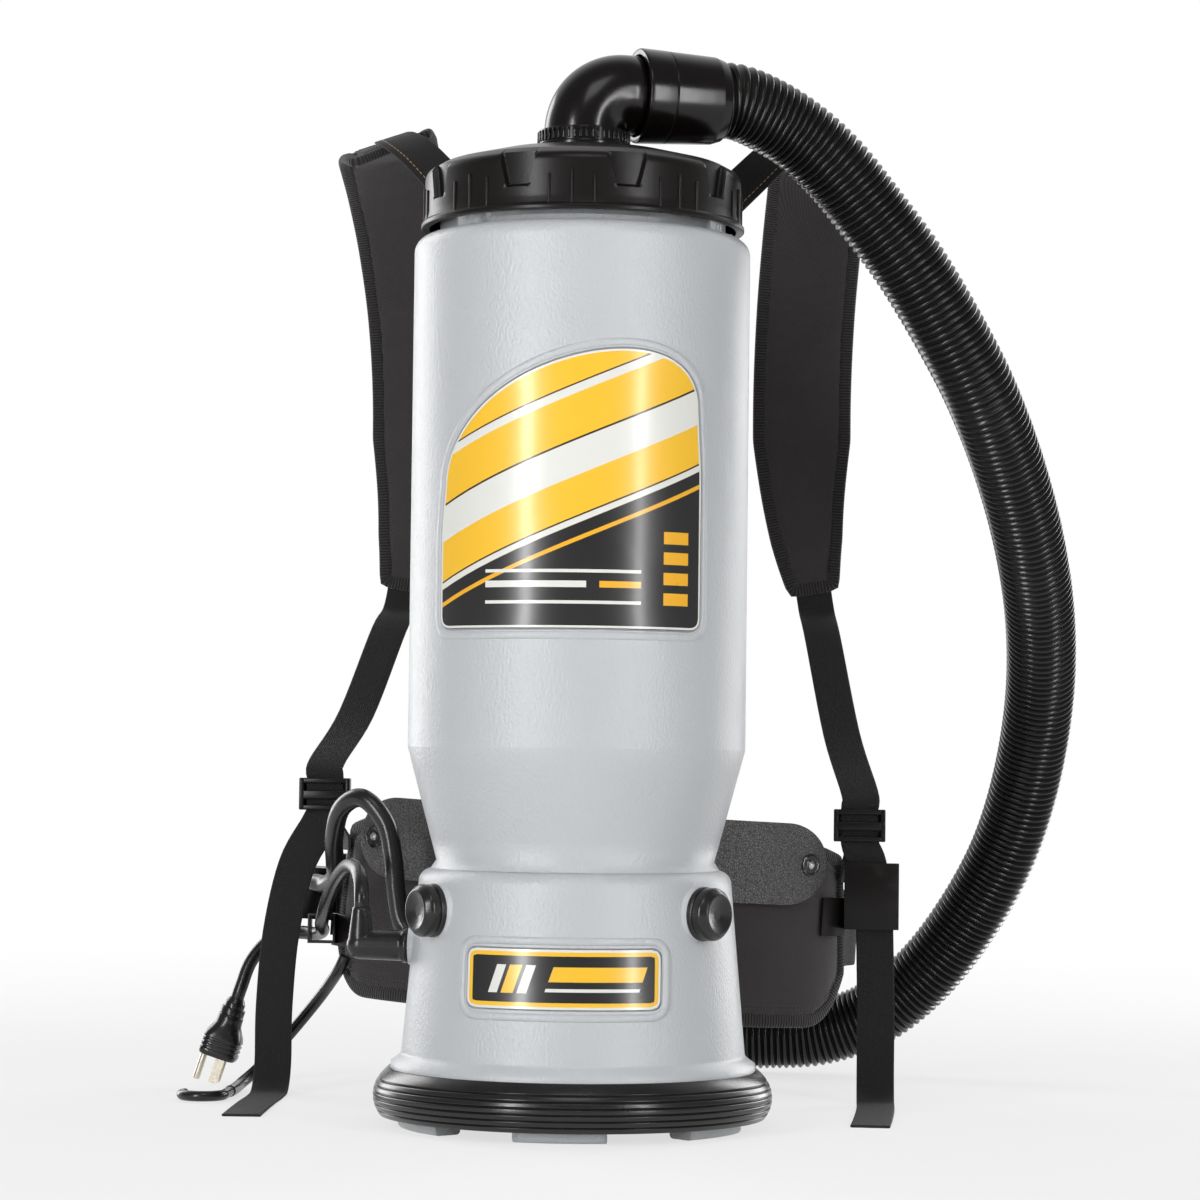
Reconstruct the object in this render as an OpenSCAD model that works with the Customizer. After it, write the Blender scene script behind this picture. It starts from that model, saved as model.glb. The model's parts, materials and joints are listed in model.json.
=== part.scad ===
// Backpack vacuum cleaner: round tank with a lift-off cap, swivel elbow, ribbed hose and wearing harness.
// Millimetres. The origin is on the floor under the tank's axis, +Z is up, the front of the tank faces -Y,
// the wearer stands at +Y and the hose leaves towards +X.

/* [Tank] */
// Outer radius of the straight part of the tank
tank_r = 107; // [103:1:110]
// Wall thickness of the moulded tank and lower housing
tank_wall = 3; // [2:0.5:4]
// Height of the straight part of the tank
straight_h = 324; // [250:2:400]
// Height from the shelf to the bottom of the straight part
taper_h = 76; // [50:1:110]
// Outer radius of the waist just above the shelf
waist_r = 88; // [84:1:92]
// Radius of the rounded shoulder at the top of the tank
shoulder_r = 10; // [4:1:14]
// How far the neck that carries the cap stands in from the straight part
neck_step = 16; // [15:0.5:19]
// Height of the neck above the shoulder
neck_h = 18; // [16:1:24]

/* [Lower housing] */
// Height of the lower housing from the bumper to the shelf
housing_h = 125.4; // [110:0.2:150]
// Outer radius at the top of the skirt
skirt_top_r = 99; // [95:1:104]
// Outer radius at the bottom of the skirt
skirt_bottom_r = 108.5; // [104:0.5:111]
// Outer radius of the flange on the bumper
flange_r = 115; // [112:1:118]
// Thickness of the flange
flange_h = 5; // [3:0.5:8]

/* [Base] */
// Height of the feet
foot_h = 6.6; // [4:0.2:12]
// Number of feet
foot_count = 6; // [3:1:8]
// Middle radius of the ring of feet
foot_ring_r = 101; // [96:1:102]
// Radial width of a foot
foot_w = 20; // [14:1:22]
// Greatest radius of the bumper
bumper_r = 126; // [122:1:132]
// Height of the bumper
bumper_h = 30; // [24:1:40]
// Number of grooves round the bumper
groove_count = 6; // [3:1:6]
// Number of exhaust slots in the base
slot_count = 24; // [12:1:30]

/* [Side bumpers] */
// Diameter of a rubber side bumper
knob_d = 33.5; // [26:0.5:36]
// How far a side bumper stands out
knob_h = 14; // [8:0.5:20]
// Angle of the side bumpers from the front
knob_angle = 54.6; // [44:0.2:62]
// Height of the side bumpers' middle above the floor
knob_z = 137; // [130:1:140]

/* [Labels] */
// Thickness of the label panel and of the small plate
label_t = 0.8; // [0.6:0.1:1.2]
// Depth of the recesses that hold them
recess_d = 0.6; // [0.3:0.1:1]
// Width of the label panel, measured round the tank
label_w = 178; // [120:1:190]
// Height of the label panel's lowest edge above the floor
label_z = 311; // [290:1:330]
// Half length of the label's oval head
oval_a = 91; // [60:1:94]
// Half breadth of the label's oval head
oval_b = 49; // [35:1:55]
// Tilt of the oval head
oval_tilt = 23; // [0:1:35]
// Height of the oval's middle above the label's lowest edge
oval_up = 113; // [90:1:125]
// Width of the small plate, measured round the housing
plate_w = 124; // [90:1:126]
// Height of the small plate
plate_h = 36; // [24:1:40]
// Height of the small plate's lower edge above the floor
plate_z = 80; // [60:1:84]

/* [Cap] */
// Gap between the tank's shoulder and the cap's rim
rim_gap = 5.5; // [5:0.5:7]
// Height of the cap's wall
cap_wall_h = 34; // [30:1:44]
// Height of the dome above the wall
dome_h = 19; // [14:1:26]
// Room between the neck and the cap's wall, which the bayonet takes up
cap_room = 6.8; // [6.4:0.1:7.4]
// How far the rim's bead stands out from the cap's wall
rim_bead = 2.2; // [1.4:0.2:3]
// Wall thickness of the cap
cap_wall = 3; // [2.5:0.5:4]
// Number of finger notches, with a group of ribs between each two
notch_count = 9; // [6:3:12]
// Number of bayonet lugs
lug_count = 3; // [2:1:3]
// Angle that locks the cap
lock_angle = 40; // [35:1:42]

/* [Inlet] */
// Outer diameter of the elbow
elbow_d = 50.8; // [44:0.2:54]
// Wall thickness of the elbow
elbow_wall = 4; // [2:0.5:6]
// Bend radius of the elbow's centre line
elbow_bend = 26; // [25.5:0.5:32]
// Outer radius of the knurled collar
collar_r = 29; // [28.5:0.5:32]
// Height of the knurled collar
collar_h = 11; // [8:1:18]
// Direction of the outlet from +X towards the wearer
outlet_angle = 21.5; // [10:0.5:30]
// Outer diameter of the cuff at the elbow
cuff_d = 61; // [58:0.5:66]
// Outer diameter of the cuff at the hose
cuff_end_d = 55.5; // [54:0.5:60]
// Length of the cuff
cuff_l = 57; // [50:1:70]
// Running clearance of the parts that turn
run_gap = 0.05; // [0.03:0.01:0.1]

/* [Hose] */
// Outer diameter of the hose over its ribs
hose_d = 49; // [44:0.5:50]
// Inner diameter of the hose
hose_bore = 38; // [32:0.5:40]
// Depth of the ribs
rib_depth = 3; // [1.5:0.25:3.5]
// Number of ribs
rib_count = 150; // [80:1:200]
// Outer diameter of the cuff at the free end
end_cuff_d = 55; // [54:0.5:58]
// Length of the cuff at the free end
end_cuff_l = 75; // [60:1:90]
// How deep the hose sits in its cuffs
hose_seat = 33; // [24:1:36]

/* [Motor] */
// Outer radius of the fan housing
fan_r = 70; // [60:1:80]
// Height of the fan housing
fan_h = 42; // [36:1:48]
// Number of impeller vanes
vane_count = 9; // [6:1:12]
// Outer radius of the field stack
stack_r = 44; // [42:1:48]
// Height of the field stack
stack_h = 34; // [28:1:36]
// Radius of the motor shaft
shaft_r = 4; // [3:0.5:5]

/* [Filters] */
// Gap between the filter bag and the neck's bore
bag_gap = 4; // [3:0.5:10]
// Wall thickness of the filter bag
bag_t = 2; // [1:0.5:3]
// Outer radius of the foam dome over the motor inlet
dome_filter_r = 58; // [50:1:66]
// Radius of the motor inlet
inlet_r = 42; // [30:1:46]

/* [Harness] */
// Gap between the tank and the backplate
plate_gap = 5; // [4:0.5:10]
// Thickness of the backplate and its wings
plate_t = 4; // [3:0.5:5]
// Height of the backplate's top above the floor
plate_top = 600; // [570:2:620]
// Height of the wings
wing_h = 55; // [45:1:60]
// Half width over the wings
wing_x = 159; // [145:1:162]
// Height of the wings' middle above the floor
wing_z = 169.5; // [165:0.5:175]
// Depth of the backplate screws in the tank's bosses
screw_l = 12; // [8:1:13]
// How far the worn belt and its wings sit off level
belt_roll = 3; // [0:0.5:4]
// Half width of the hip belt's outer face
hip_a = 189; // [184:1:192]
// Half depth of the hip belt's outer face
hip_b = 129; // [126:1:132]
// Thickness of the belt pads
pad_t = 14; // [10:1:16]
// Thickness of the lumbar pad
lumbar_t = 18; // [12:1:20]
// Width of a shoulder pad
shoulder_w = 64; // [50:1:68]
// Thickness of a shoulder pad
shoulder_t = 13; // [9:1:14]
// Width of the strap webbing
strap_w = 25.4; // [20:0.2:26]
// Width of the belt webbing
belt_w = 50; // [38:1:50]
// Thickness of all webbing
web_t = 1.8; // [1.4:0.1:2]

/* [Cords] */
// Diameter of the switch cord
switch_cord_d = 12.6; // [8:0.2:12.8]
// Diameter of the plug lead
lead_d = 9.4; // [7:0.2:9.6]
// Diameter of the hook's tether
tether_d = 8; // [5:0.5:8]

/* [Hidden] */
$fn = 96;

seat_gap = 0.3;
cut = 1;

// Heights above the floor, from the feet up
neck_r = tank_r - neck_step;
bag_r = neck_r - tank_wall - bag_gap;
cap_r = neck_r + cap_room + cap_wall;
rim_r = cap_r + rim_bead;
z_tray = foot_h;
z_flange = z_tray + bumper_h;
z_skirt = z_flange + flange_h + 5;
z_shelf = z_flange + housing_h;
shelf_round = 9;
z_skirt_top = z_shelf - shelf_round;
z_taper = z_shelf + taper_h;
z_shoulder = z_taper + straight_h;
z_neck = z_shoulder + neck_h;
z_rim = z_shoulder + rim_gap;
z_cap_wall = z_rim + cap_wall_h;
z_dome = z_cap_wall + dome_h;
z_collar_top = z_dome + seat_gap + collar_h;
z_bend = z_collar_top - (elbow_bend - elbow_d / 2) + 0.4;
z_outlet = z_bend + elbow_bend;
elbow_r = elbow_d / 2;
plate_y = tank_r + plate_gap;

// ---------- helpers ----------

// Points of an arc in a profile
function arc(cx, cy, r, a0, a1, n) =
    [for (i = [0:n]) let (a = a0 + (a1 - a0) * i / n) [cx + r * cos(a), cy + r * sin(a)]];

// Radius of the skirt's outer face at height z
function skirt_r(z) =
    skirt_bottom_r - (skirt_bottom_r - skirt_top_r) * (z - z_skirt) / (z_skirt_top - z_skirt);

// Sideways place of a point that lies u round a face of radius r
function round_x(u, r) = r * sin(u / r * 180 / PI);

// Ring between two radii
module ring(r_out, r_in, h) {
    difference() {
        cylinder(r = r_out, h = h);
        translate([0, 0, -cut]) cylinder(r = r_in, h = h + 2 * cut);
    }
}

// Rectangle with rounded corners, centred
module round_rect(w, h, r) {
    square([w - 2 * r, h], center = true);
    square([w, h - 2 * r], center = true);
    for (x = [-1, 1], y = [-1, 1])
        translate([x * (w / 2 - r), y * (h / 2 - r)]) circle(r = r);
}

// A flat outline in X and Z made into a bar that runs along -Y from the axis
module forward_bar(length) rotate([90, 0, 0]) linear_extrude(length) children();

// A cylinder that stands out radially at angle a from +X
module radial(a, z, r, from, to)
    rotate([0, 0, a]) translate([from, 0, z]) rotate([0, 90, 0]) cylinder(r = r, h = to - from);

function unit(v) = v / norm(v);

// Catmull-Rom curve through points, n steps between each two
function blend4(a, b, c, d, t) = 0.5 * (2 * b + (c - a) * t + (2 * a - 5 * b + 4 * c - d) * t * t
    + (3 * b - a - 3 * c + d) * t * t * t);
function smooth(p, n) = let (m = len(p) - 1)
    [for (i = [0:m - 1], k = [0:n - 1])
        blend4(p[max(i - 1, 0)], p[i], p[i + 1], p[min(i + 2, m)], k / n), p[m]];

// Running length at each point of a path
function runs(p) =
    [for (i = 0, a = 0; i < len(p); a = a + (i + 1 < len(p) ? norm(p[i + 1] - p[i]) : 0), i = i + 1) a];

// Points at equal steps along a path
function even(p, count) = let (s = runs(p), total = s[len(s) - 1],
    tab = [for (c = [0:2]) [for (i = [0:len(p) - 1]) [s[i], p[i][c]]]])
    [for (i = [0:count]) let (at = total * i / count) [for (t = tab) lookup(at, t)]];

function path_length(p) = let (s = runs(p)) s[len(s) - 1];

// Direction of a path at point i
function heading(p, i) = unit(p[min(i + 1, len(p) - 1)] - p[max(i - 1, 0)]);

// Ring of points round centre c, square to direction t
function tube_ring(c, t, side, r, n) = let (u = unit(cross(t, side)), v = cross(t, u))
    [for (k = [0:n - 1]) let (a = 360 * (k + 0.5) / n) c + r * (cos(a) * u + sin(a) * v)];

// Closed skin over rings that all have the same number of points
module skin(rings) {
    n = len(rings[0]);
    m = len(rings);
    walls = [for (i = [0:m - 2], j = [0:n - 1]) let (a = i * n + j, b = i * n + (j + 1) % n)
        each [[a, b + n, b], [a, a + n, b + n]]];
    ends = [for (j = [1:n - 2]) each [[0, j, j + 1], [(m - 1) * n, (m - 1) * n + j + 1, (m - 1) * n + j]]];
    polyhedron(points = [for (r = rings) each r], faces = concat(walls, ends), convexity = 8);
}

// Closed skin whose last ring joins its first, as on a pipe with a bore
module pipe_skin(rings) {
    n = len(rings[0]);
    m = len(rings);
    walls = [for (i = [0:m - 1], j = [0:n - 1])
        let (k = (j + 1) % n, row = (i + 1) % m * n, a = i * n + j, b = i * n + k, c = row + j, d = row + k)
        each [[a, d, b], [a, c, d]]];
    polyhedron(points = [for (r = rings) each r], faces = walls, convexity = 8);
}

// Plain round cord along a route; its ends are square to the route's first and last stretch
module cord_tube(route, steps, d, count, side) {
    p = even(smooth(route, steps), count);
    last = len(route) - 1;
    skin([for (i = [0:count])
        let (t = i == 0 ? route[1] - route[0] : i == count ? route[last] - route[last - 1] : heading(p, i))
        tube_ring(p[i], unit(t), side, d / 2 / cos(22.5), 8)]);
}

// Flat webbing along a path, with the direction of its width at each point
module ribbon(points, widths, w, steps = 4) {
    p = smooth(points, steps);
    d = smooth(widths, steps);
    skin([for (i = [0:len(p) - 1]) let (t = heading(p, i), n = unit(cross(t, d[i])), x = unit(cross(n, t)))
        [p[i] + x * w / 2 + n * web_t / 2, p[i] - x * w / 2 + n * web_t / 2,
         p[i] - x * w / 2 - n * web_t / 2, p[i] + x * w / 2 - n * web_t / 2]]);
}

// Crowned cross-section, full in the middle and drawn in at its edges, n points
function lens(w, t, n) = [for (k = [0:n - 1]) let (a = 360 * (k + 0.5) / n)
    [w / 2 * sign(cos(a)) * pow(abs(cos(a)), 0.6), t / 2 * sign(sin(a)) * pow(abs(sin(a)), 0.75)]];

// Point on the hip belt's oval at angle a from the middle of the back, off outside the belt's outer face
hip_y = plate_y + plate_t + seat_gap + hip_b;
function hip(a, off) = [(hip_a + off) * sin(a), hip_y - (hip_b + off) * cos(a)];

// Band of the hip oval between two angles and two offsets
module hip_band(a0, a1, off0, off1, n = 24)
    polygon(concat([for (i = [0:n]) hip(a0 + (a1 - a0) * i / n, off1)],
                   [for (i = [n:-1:0]) hip(a0 + (a1 - a0) * i / n, off0)]));

// The belt as worn, a little off level
module worn() translate([0, 0, wing_z]) rotate([0, belt_roll, 0]) translate([0, 0, -wing_z]) children();
function worn_point(p) = [p.x * cos(belt_roll) + (p.z - wing_z) * sin(belt_roll), p.y,
    wing_z - p.x * sin(belt_roll) + (p.z - wing_z) * cos(belt_roll)];

// ---------- tank ----------

// Outline of the label: a rounded panel under a tilted oval head, grown by m
panel_h = 105;
function oval_points(m) = [for (i = [0:47])
    let (a = 7.5 * i, x = (oval_a + m) * cos(a), y = (oval_b + m) * sin(a))
    [round_x(x * cos(oval_tilt) - y * sin(oval_tilt), tank_r),
     label_z + oval_up + x * sin(oval_tilt) + y * cos(oval_tilt)]];
function panel_points(m) = let (w = label_w / 2 + m, r = 8 + m, z = label_z - m, h = panel_h)
    [for (q = concat([[w, z + h + 45]], arc(w - r, z + r, r, 0, -90, 5), arc(r - w, z + r, r, 270, 180, 5),
        [[-w, z + h - 15]])) [round_x(q.x, tank_r), q.y]];
module label_outline(m) {
    polygon(oval_points(m));
    polygon(panel_points(m));
}

module label_solid(m, r_in, r_out) intersection() {
    translate([0, 0, label_z - 10]) ring(r_out, r_in, oval_up + oval_a);
    forward_bar(tank_r + 10) label_outline(m);
}

// Places the backplate's four screws, with +Z towards the wearer and the origin on the tank's bosses
screw_x = 45;
screw_r = 2.4;
module each_screw() for (x = [-screw_x, screw_x], z = [z_taper + 40, z_shoulder - 60])
    translate([x, plate_y, z]) rotate([-90, 0, 0]) children();

lug_t = 3.5;
ramp_z = z_rim + 1 + lug_t + 1;
module tank() color("silver") {
    difference() {
        union() {
            rotate_extrude() polygon(concat(
                [[inlet_r, z_shelf], [waist_r + 3.5, z_shelf], [waist_r, z_shelf + 5], [tank_r, z_taper]],
                arc(tank_r - shoulder_r, z_shoulder - shoulder_r, shoulder_r, 0, 90, 8),
                [[neck_r, z_shoulder], [neck_r, z_neck], [neck_r - tank_wall, z_neck]],
                [[neck_r - tank_wall, z_shoulder - tank_wall]],
                arc(tank_r - shoulder_r, z_shoulder - shoulder_r, shoulder_r - tank_wall, 90, 0, 8),
                [[tank_r - tank_wall, z_taper], [waist_r - tank_wall, z_shelf + 5],
                 [waist_r - tank_wall, z_shelf + 4], [inlet_r, z_shelf + 4]]));
            // Bayonet ramps on the neck
            for (i = [0:lug_count - 1])
                rotate([0, 0, 360 / lug_count * i - 90 - lock_angle - 15])
                    rotate_extrude(angle = 30) translate([neck_r - 1, ramp_z]) square([cap_room - 2.5, 4]);
            // Cam steps that show under the cap's rim
            for (i = [0:2])
                rotate([0, 0, 120 * i - 90 - 36]) rotate_extrude(angle = 72)
                    translate([neck_r - 1, z_shoulder - 1]) square([cap_room - 0.8, 4]);
            // Bosses that meet the backplate
            each_screw() translate([0, 0, -(plate_gap + 15)]) cylinder(r = 9, h = plate_gap + 15);
        }
        label_solid(1.5, tank_r - recess_d, tank_r + 4);
        // The bosses have blind screw holes and end at the wall
        each_screw() translate([0, 0, -screw_l - 0.5]) cylinder(r = screw_r + 0.1, h = screw_l + 0.5 + cut);
        translate([0, 0, z_taper]) cylinder(r = tank_r - tank_wall, h = straight_h - shoulder_r);
    }
}

module label_panel() color("#2a2a2c") label_solid(0, tank_r - recess_d, tank_r - recess_d + label_t);

// ---------- lower housing and base ----------

gland_z = 112;
gland_face = skirt_r(gland_z) + 2.4;
lead_angle = 180;
switch_angle = 145;
boss_face = skirt_r(knob_z) + 1.5;

module plate_solid(m, r_off0, r_off1) intersection() {
    low = plate_z - 5;
    high = plate_z + plate_h + 5;
    rotate_extrude() polygon([[skirt_r(low) + r_off0, low], [skirt_r(low) + r_off1, low],
        [skirt_r(high) + r_off1, high], [skirt_r(high) + r_off0, high]]);
    forward_bar(skirt_bottom_r + 10) translate([0, plate_z + plate_h / 2])
        round_rect(2 * round_x(plate_w / 2 + m, skirt_r(plate_z)), plate_h + 2 * m, 4 + m);
}

// Bosses on the skirt's inside take the four base screws, which stand between the feet
boss_r = 5;
boss_h = 40;
column_r = 6;
base_screw_r = 2;
screw_ring = skirt_r(z_flange + boss_h) - boss_r - 1;
module each_base_screw() for (a = [60, 120, 240, 300])
    rotate([0, 0, a]) translate([screw_ring, 0, 0]) children();

module lower_housing() color("silver") difference() {
    union() {
        rotate_extrude() polygon(concat(
            [[flange_r - tank_wall, z_flange], [flange_r, z_flange], [flange_r, z_flange + flange_h - 1],
             [skirt_bottom_r + 1, z_flange + flange_h + 3], [skirt_bottom_r, z_skirt]],
            arc(skirt_top_r - shelf_round, z_skirt_top, shelf_round, 0, 90, 8),
            [[inlet_r, z_shelf], [inlet_r, z_shelf - tank_wall]],
            arc(skirt_top_r - shelf_round, z_skirt_top, shelf_round - tank_wall, 90, 0, 8),
            [[skirt_bottom_r - tank_wall, z_skirt]]));
        for (s = [-1, 1]) radial(-90 + s * knob_angle, knob_z, knob_d / 2 + 0.8, skirt_top_r - 4, boss_face);
        radial(lead_angle, gland_z, 12, skirt_top_r - 4, gland_face);
        radial(switch_angle, gland_z, 12, skirt_top_r - 4, gland_face);
        each_base_screw() translate([0, 0, z_flange]) cylinder(r = boss_r, h = boss_h);
    }
    plate_solid(1, -recess_d, 4);
    each_base_screw() translate([0, 0, z_flange - cut]) cylinder(r = base_screw_r, h = 25 + cut);
    for (s = [-1, 1]) radial(-90 + s * knob_angle, knob_z, 4, skirt_top_r - 15, boss_face + cut);
    radial(lead_angle, gland_z, 6, skirt_top_r - 15, gland_face + cut);
    radial(switch_angle, gland_z, 8, skirt_top_r - 15, gland_face + cut);
}

module name_plate() color("#2a2a2c") plate_solid(0, -recess_d, label_t - recess_d);

tray_r = flange_r - 2;
module base_tray() color("#262628") difference() {
    union() {
        translate([0, 0, z_tray]) cylinder(r = tray_r, h = tank_wall);
        translate([0, 0, z_tray]) ring(tray_r, tray_r - tank_wall, bumper_h);
        // Pillar that stands under the motor
        translate([0, 0, z_tray]) ring(20, 15, z_stack - bracket_h - seat_gap - z_tray);
        each_base_screw() translate([0, 0, z_tray]) cylinder(r = column_r, h = bumper_h);
    }
    for (i = [0:slot_count - 1]) rotate([0, 0, 360 / slot_count * i])
        translate([32, -2.5, z_tray - cut]) cube([46, 5, tank_wall + 2 * cut]);
    each_base_screw() translate([0, 0, z_tray - cut]) {
        cylinder(r = base_screw_r + 0.4, h = bumper_h + 2 * cut);
        cylinder(r = 4.6, h = 4 + cut);
    }
}

module base_screws() color("gray") each_base_screw() translate([0, 0, z_tray + 0.5]) {
    cylinder(r = 2 * base_screw_r, h = 3.5);
    cylinder(r = base_screw_r, h = bumper_h + 15);
}

// Half-round bead section with shallow grooves
function bumper_out(z) = bumper_r - 9 * pow(abs(z - 0.42) / 0.58, 2.2);
module bumper_ring() color("#262628") rotate_extrude() difference() {
    polygon(concat([[tray_r, z_tray + 0.5]],
        [for (i = [0:12]) [bumper_out(i / 12), z_tray + 0.5 + i / 12 * (bumper_h - 0.5)]],
        [[tray_r, z_flange]]));
    for (i = [0:groove_count - 1]) let (u = 0.12 + 0.13 * i)
        translate([bumper_out(u) + 0.6, z_tray + 0.5 + u * (bumper_h - 0.5)]) circle(r = 1.5);
}

module base_feet() color("silver") for (i = [0:foot_count - 1])
    rotate([0, 0, -90 + 360 / foot_count * i - 15]) rotate_extrude(angle = 30)
        translate([foot_ring_r, 0]) polygon(concat(arc(foot_w / 2 - 3, 3, 3, -90, 0, 4),
            [[foot_w / 2, foot_h], [-foot_w / 2, foot_h]], arc(3 - foot_w / 2, 3, 3, 180, 270, 4)));

// Rubber side bumper: base flange, groove, rounded body and a dished face
module side_bumper(s) rotate([0, 0, -90 + s * knob_angle])
    translate([boss_face, 0, knob_z]) rotate([0, 90, 0]) let (r = knob_d / 2)
    rotate_extrude() polygon(concat([[0, -8], [3.8, -8], [3.8, 0], [r, 0], [r, 2.5], [r - 1.5, 3.5]],
        arc(r - 4, knob_h - 4.5, 4, -20, 75, 5), [[r - 8, knob_h - 1.6], [4, knob_h - 2], [0, knob_h - 3]]));
module side_bumper_left() color("#1e1e20") side_bumper(-1);
module side_bumper_right() color("#1e1e20") side_bumper(1);

// ---------- filters ----------

bag_bottom = z_shelf + 4 + dome_filter_r + 6;
bag_round = 20;
ring_t = 3;
module filter_bag() color("white") rotate_extrude() polygon(concat([[0, bag_bottom]],
    arc(bag_r - bag_round, bag_bottom + bag_round, bag_round, -90, 0, 6),
    [[bag_r, z_neck], [bag_r - bag_t, z_neck]],
    arc(bag_r - bag_round, bag_bottom + bag_round, bag_round - bag_t, 0, -90, 6), [[0, bag_bottom + bag_t]]));

module bag_ring() color("beige") translate([0, 0, z_neck]) ring(neck_r, bag_r - bag_t - 2, ring_t);

module dome_filter() color("dimgray") rotate_extrude() polygon(concat(
    [[dome_filter_r - 8, z_shelf + 4]],
    arc(0, z_shelf + 4, dome_filter_r, 0, 90, 12), arc(0, z_shelf + 4, dome_filter_r - 8, 90, 0, 12)));

module exhaust_filter() color("white")
    translate([0, 0, z_tray + tank_wall]) ring(screw_ring - column_r - 4, 34, 14);

// ---------- motor ----------

bracket_h = 30;
z_plate = z_shelf - tank_wall - 4;
z_fan = z_plate - 3 - fan_h;
z_stack = z_fan - 10 - stack_h;
z_shaft = z_stack - bracket_h + 1;
fan_wall = 1.6;

module motor_plate() color("#3a3a3c") translate([0, 0, z_plate])
    ring(skirt_top_r - shelf_round - 2, inlet_r - 6, 4);
module motor_gasket() color("#202022") translate([0, 0, z_plate - 3]) ring(fan_r - 2, inlet_r - 4, 3);

module fan_housing() color("lightgray") {
    translate([0, 0, z_fan]) difference() {
        union() {
            cylinder(r = fan_r, h = fan_h);
            translate([0, 0, -10 - stack_h]) cylinder(r = stack_r + 3, h = stack_h + 11);
        }
        translate([0, 0, 4]) cylinder(r = fan_r - fan_wall, h = fan_h - 4 - fan_wall);
        translate([0, 0, fan_h - 5]) cylinder(r = 28, h = 6);
        translate([0, 0, -11 - stack_h]) cylinder(r = stack_r, h = stack_h + 11);
        translate([0, 0, -cut]) cylinder(r = 11, h = 6);
        for (i = [0:11]) rotate([0, 0, 30 * i]) translate([52, 0, -cut]) cylinder(r = 5, h = 6);
        for (i = [0:5]) rotate([0, 0, 60 * i + 30]) translate([24, 0, -cut]) cylinder(r = 4, h = 6);
    }
}

module field_stack() color("gray") translate([0, 0, z_stack]) difference() {
    cylinder(r = stack_r, h = stack_h);
    translate([0, 0, -cut]) cylinder(r = 28, h = stack_h + 2 * cut);
    for (i = [0:3])
        rotate([0, 0, 90 * i + 45]) translate([34, 0, -cut]) cylinder(r = 4, h = stack_h + 2 * cut);
}

module field_coils() color("#b87333") for (z = [z_stack - 8, z_stack + stack_h])
    translate([0, 0, z]) ring(stack_r - 4, 30, 8);

module brush_bracket() color("#3a3a3c") translate([0, 0, z_stack - bracket_h]) difference() {
    union() {
        ring(stack_r, stack_r - 3, bracket_h);
        for (i = [0:1])
            rotate([0, 0, 90 * i]) translate([-stack_r + 1.5, -8, 0]) cube([2 * stack_r - 3, 16, 4]);
        cylinder(r = 16, h = 9);
    }
    translate([0, 0, 2]) cylinder(r = 11, h = 10);
    translate([0, 0, -cut]) cylinder(r = 7, h = 5);
}

commutator_r = 13;
module brush_holders() color("#b5a642") for (i = [0:1]) rotate([0, 0, 180 * i + 45])
    translate([commutator_r + seat_gap, -4, z_stack - 17.5])
        cube([stack_r - 3 - commutator_r - 2 * seat_gap, 8, 8]);

bearing_h = 7;
module bearings() color("silver") {
    translate([0, 0, z_fan - 3]) ring(11, shaft_r + run_gap, bearing_h);
    translate([0, 0, z_stack - bracket_h + 2]) ring(11, shaft_r + run_gap, bearing_h);
}

module motor_shaft() color("lightgray") translate([0, 0, z_shaft])
    cylinder(r = shaft_r, h = z_fan + fan_h - 8 - z_shaft);

module impeller() color("lightgray") translate([0, 0, z_fan + 8]) difference() {
    union() {
        cylinder(r = fan_r - 6, h = 1.5);
        cylinder(r = 9, h = 24);
        for (i = [0:vane_count - 1]) rotate([0, 0, 360 / vane_count * i]) translate([22, 0, 1])
            rotate([0, 0, 35]) translate([-8, -0.8, 0]) cube([38, 1.6, 20]);
        translate([0, 0, 21]) ring(fan_r - 6, 28, 1.5);
    }
    translate([0, 0, -cut]) cylinder(r = shaft_r, h = 30);
    translate([0, 0, -cut]) ring(fan_r + 20, fan_r - 6, 30);
}

module armature() color("#b87333") translate([0, 0, z_stack]) difference() {
    union() {
        cylinder(r = 27, h = stack_h);
        translate([0, 0, -19]) cylinder(r = commutator_r, h = 20);
    }
    translate([0, 0, -20]) cylinder(r = shaft_r, h = stack_h + 24);
    for (i = [0:11]) rotate([0, 0, 30 * i]) translate([26, 0, -cut]) cylinder(r = 1.8, h = stack_h + 2 * cut);
}

// ---------- cap ----------

seal_t = 3.5;
z_seal = z_neck + ring_t + seat_gap;
cap_edge = 8;
sleeve_r = elbow_r + 2.2;
function dome_point(u, t) = [sleeve_r + 1 + (cap_r - cap_edge - sleeve_r - 1) * u,
    z_dome - t - (dome_h - 1) * (0.65 * u + 0.35 * u * u)];
notch_z = z_cap_wall - 18.5;
notch_depth = 4.3;
cap_thick = notch_depth + 2;
module cap_shell() rotate_extrude() polygon(concat(
    [[cap_r - cap_wall, z_rim], [rim_r, z_rim], [rim_r, z_rim + 2.6], [cap_r + 0.6, z_rim + 4]],
    arc(cap_r - cap_edge, z_cap_wall - cap_edge + 1, cap_edge, 0, 75, 6),
    [for (u = [0.9, 0.7, 0.5, 0.3, 0.1]) dome_point(u, 0)], [[sleeve_r + run_gap, z_dome]],
    [[sleeve_r + run_gap, z_dome - cap_wall]], [for (u = [0.1, 0.3, 0.5, 0.7, 0.9]) dome_point(u, cap_wall)],
    [[cap_r - cap_thick, z_cap_wall - 4], [cap_r - cap_thick, notch_z - 3], [cap_r - cap_wall, notch_z - 3]]));

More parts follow.
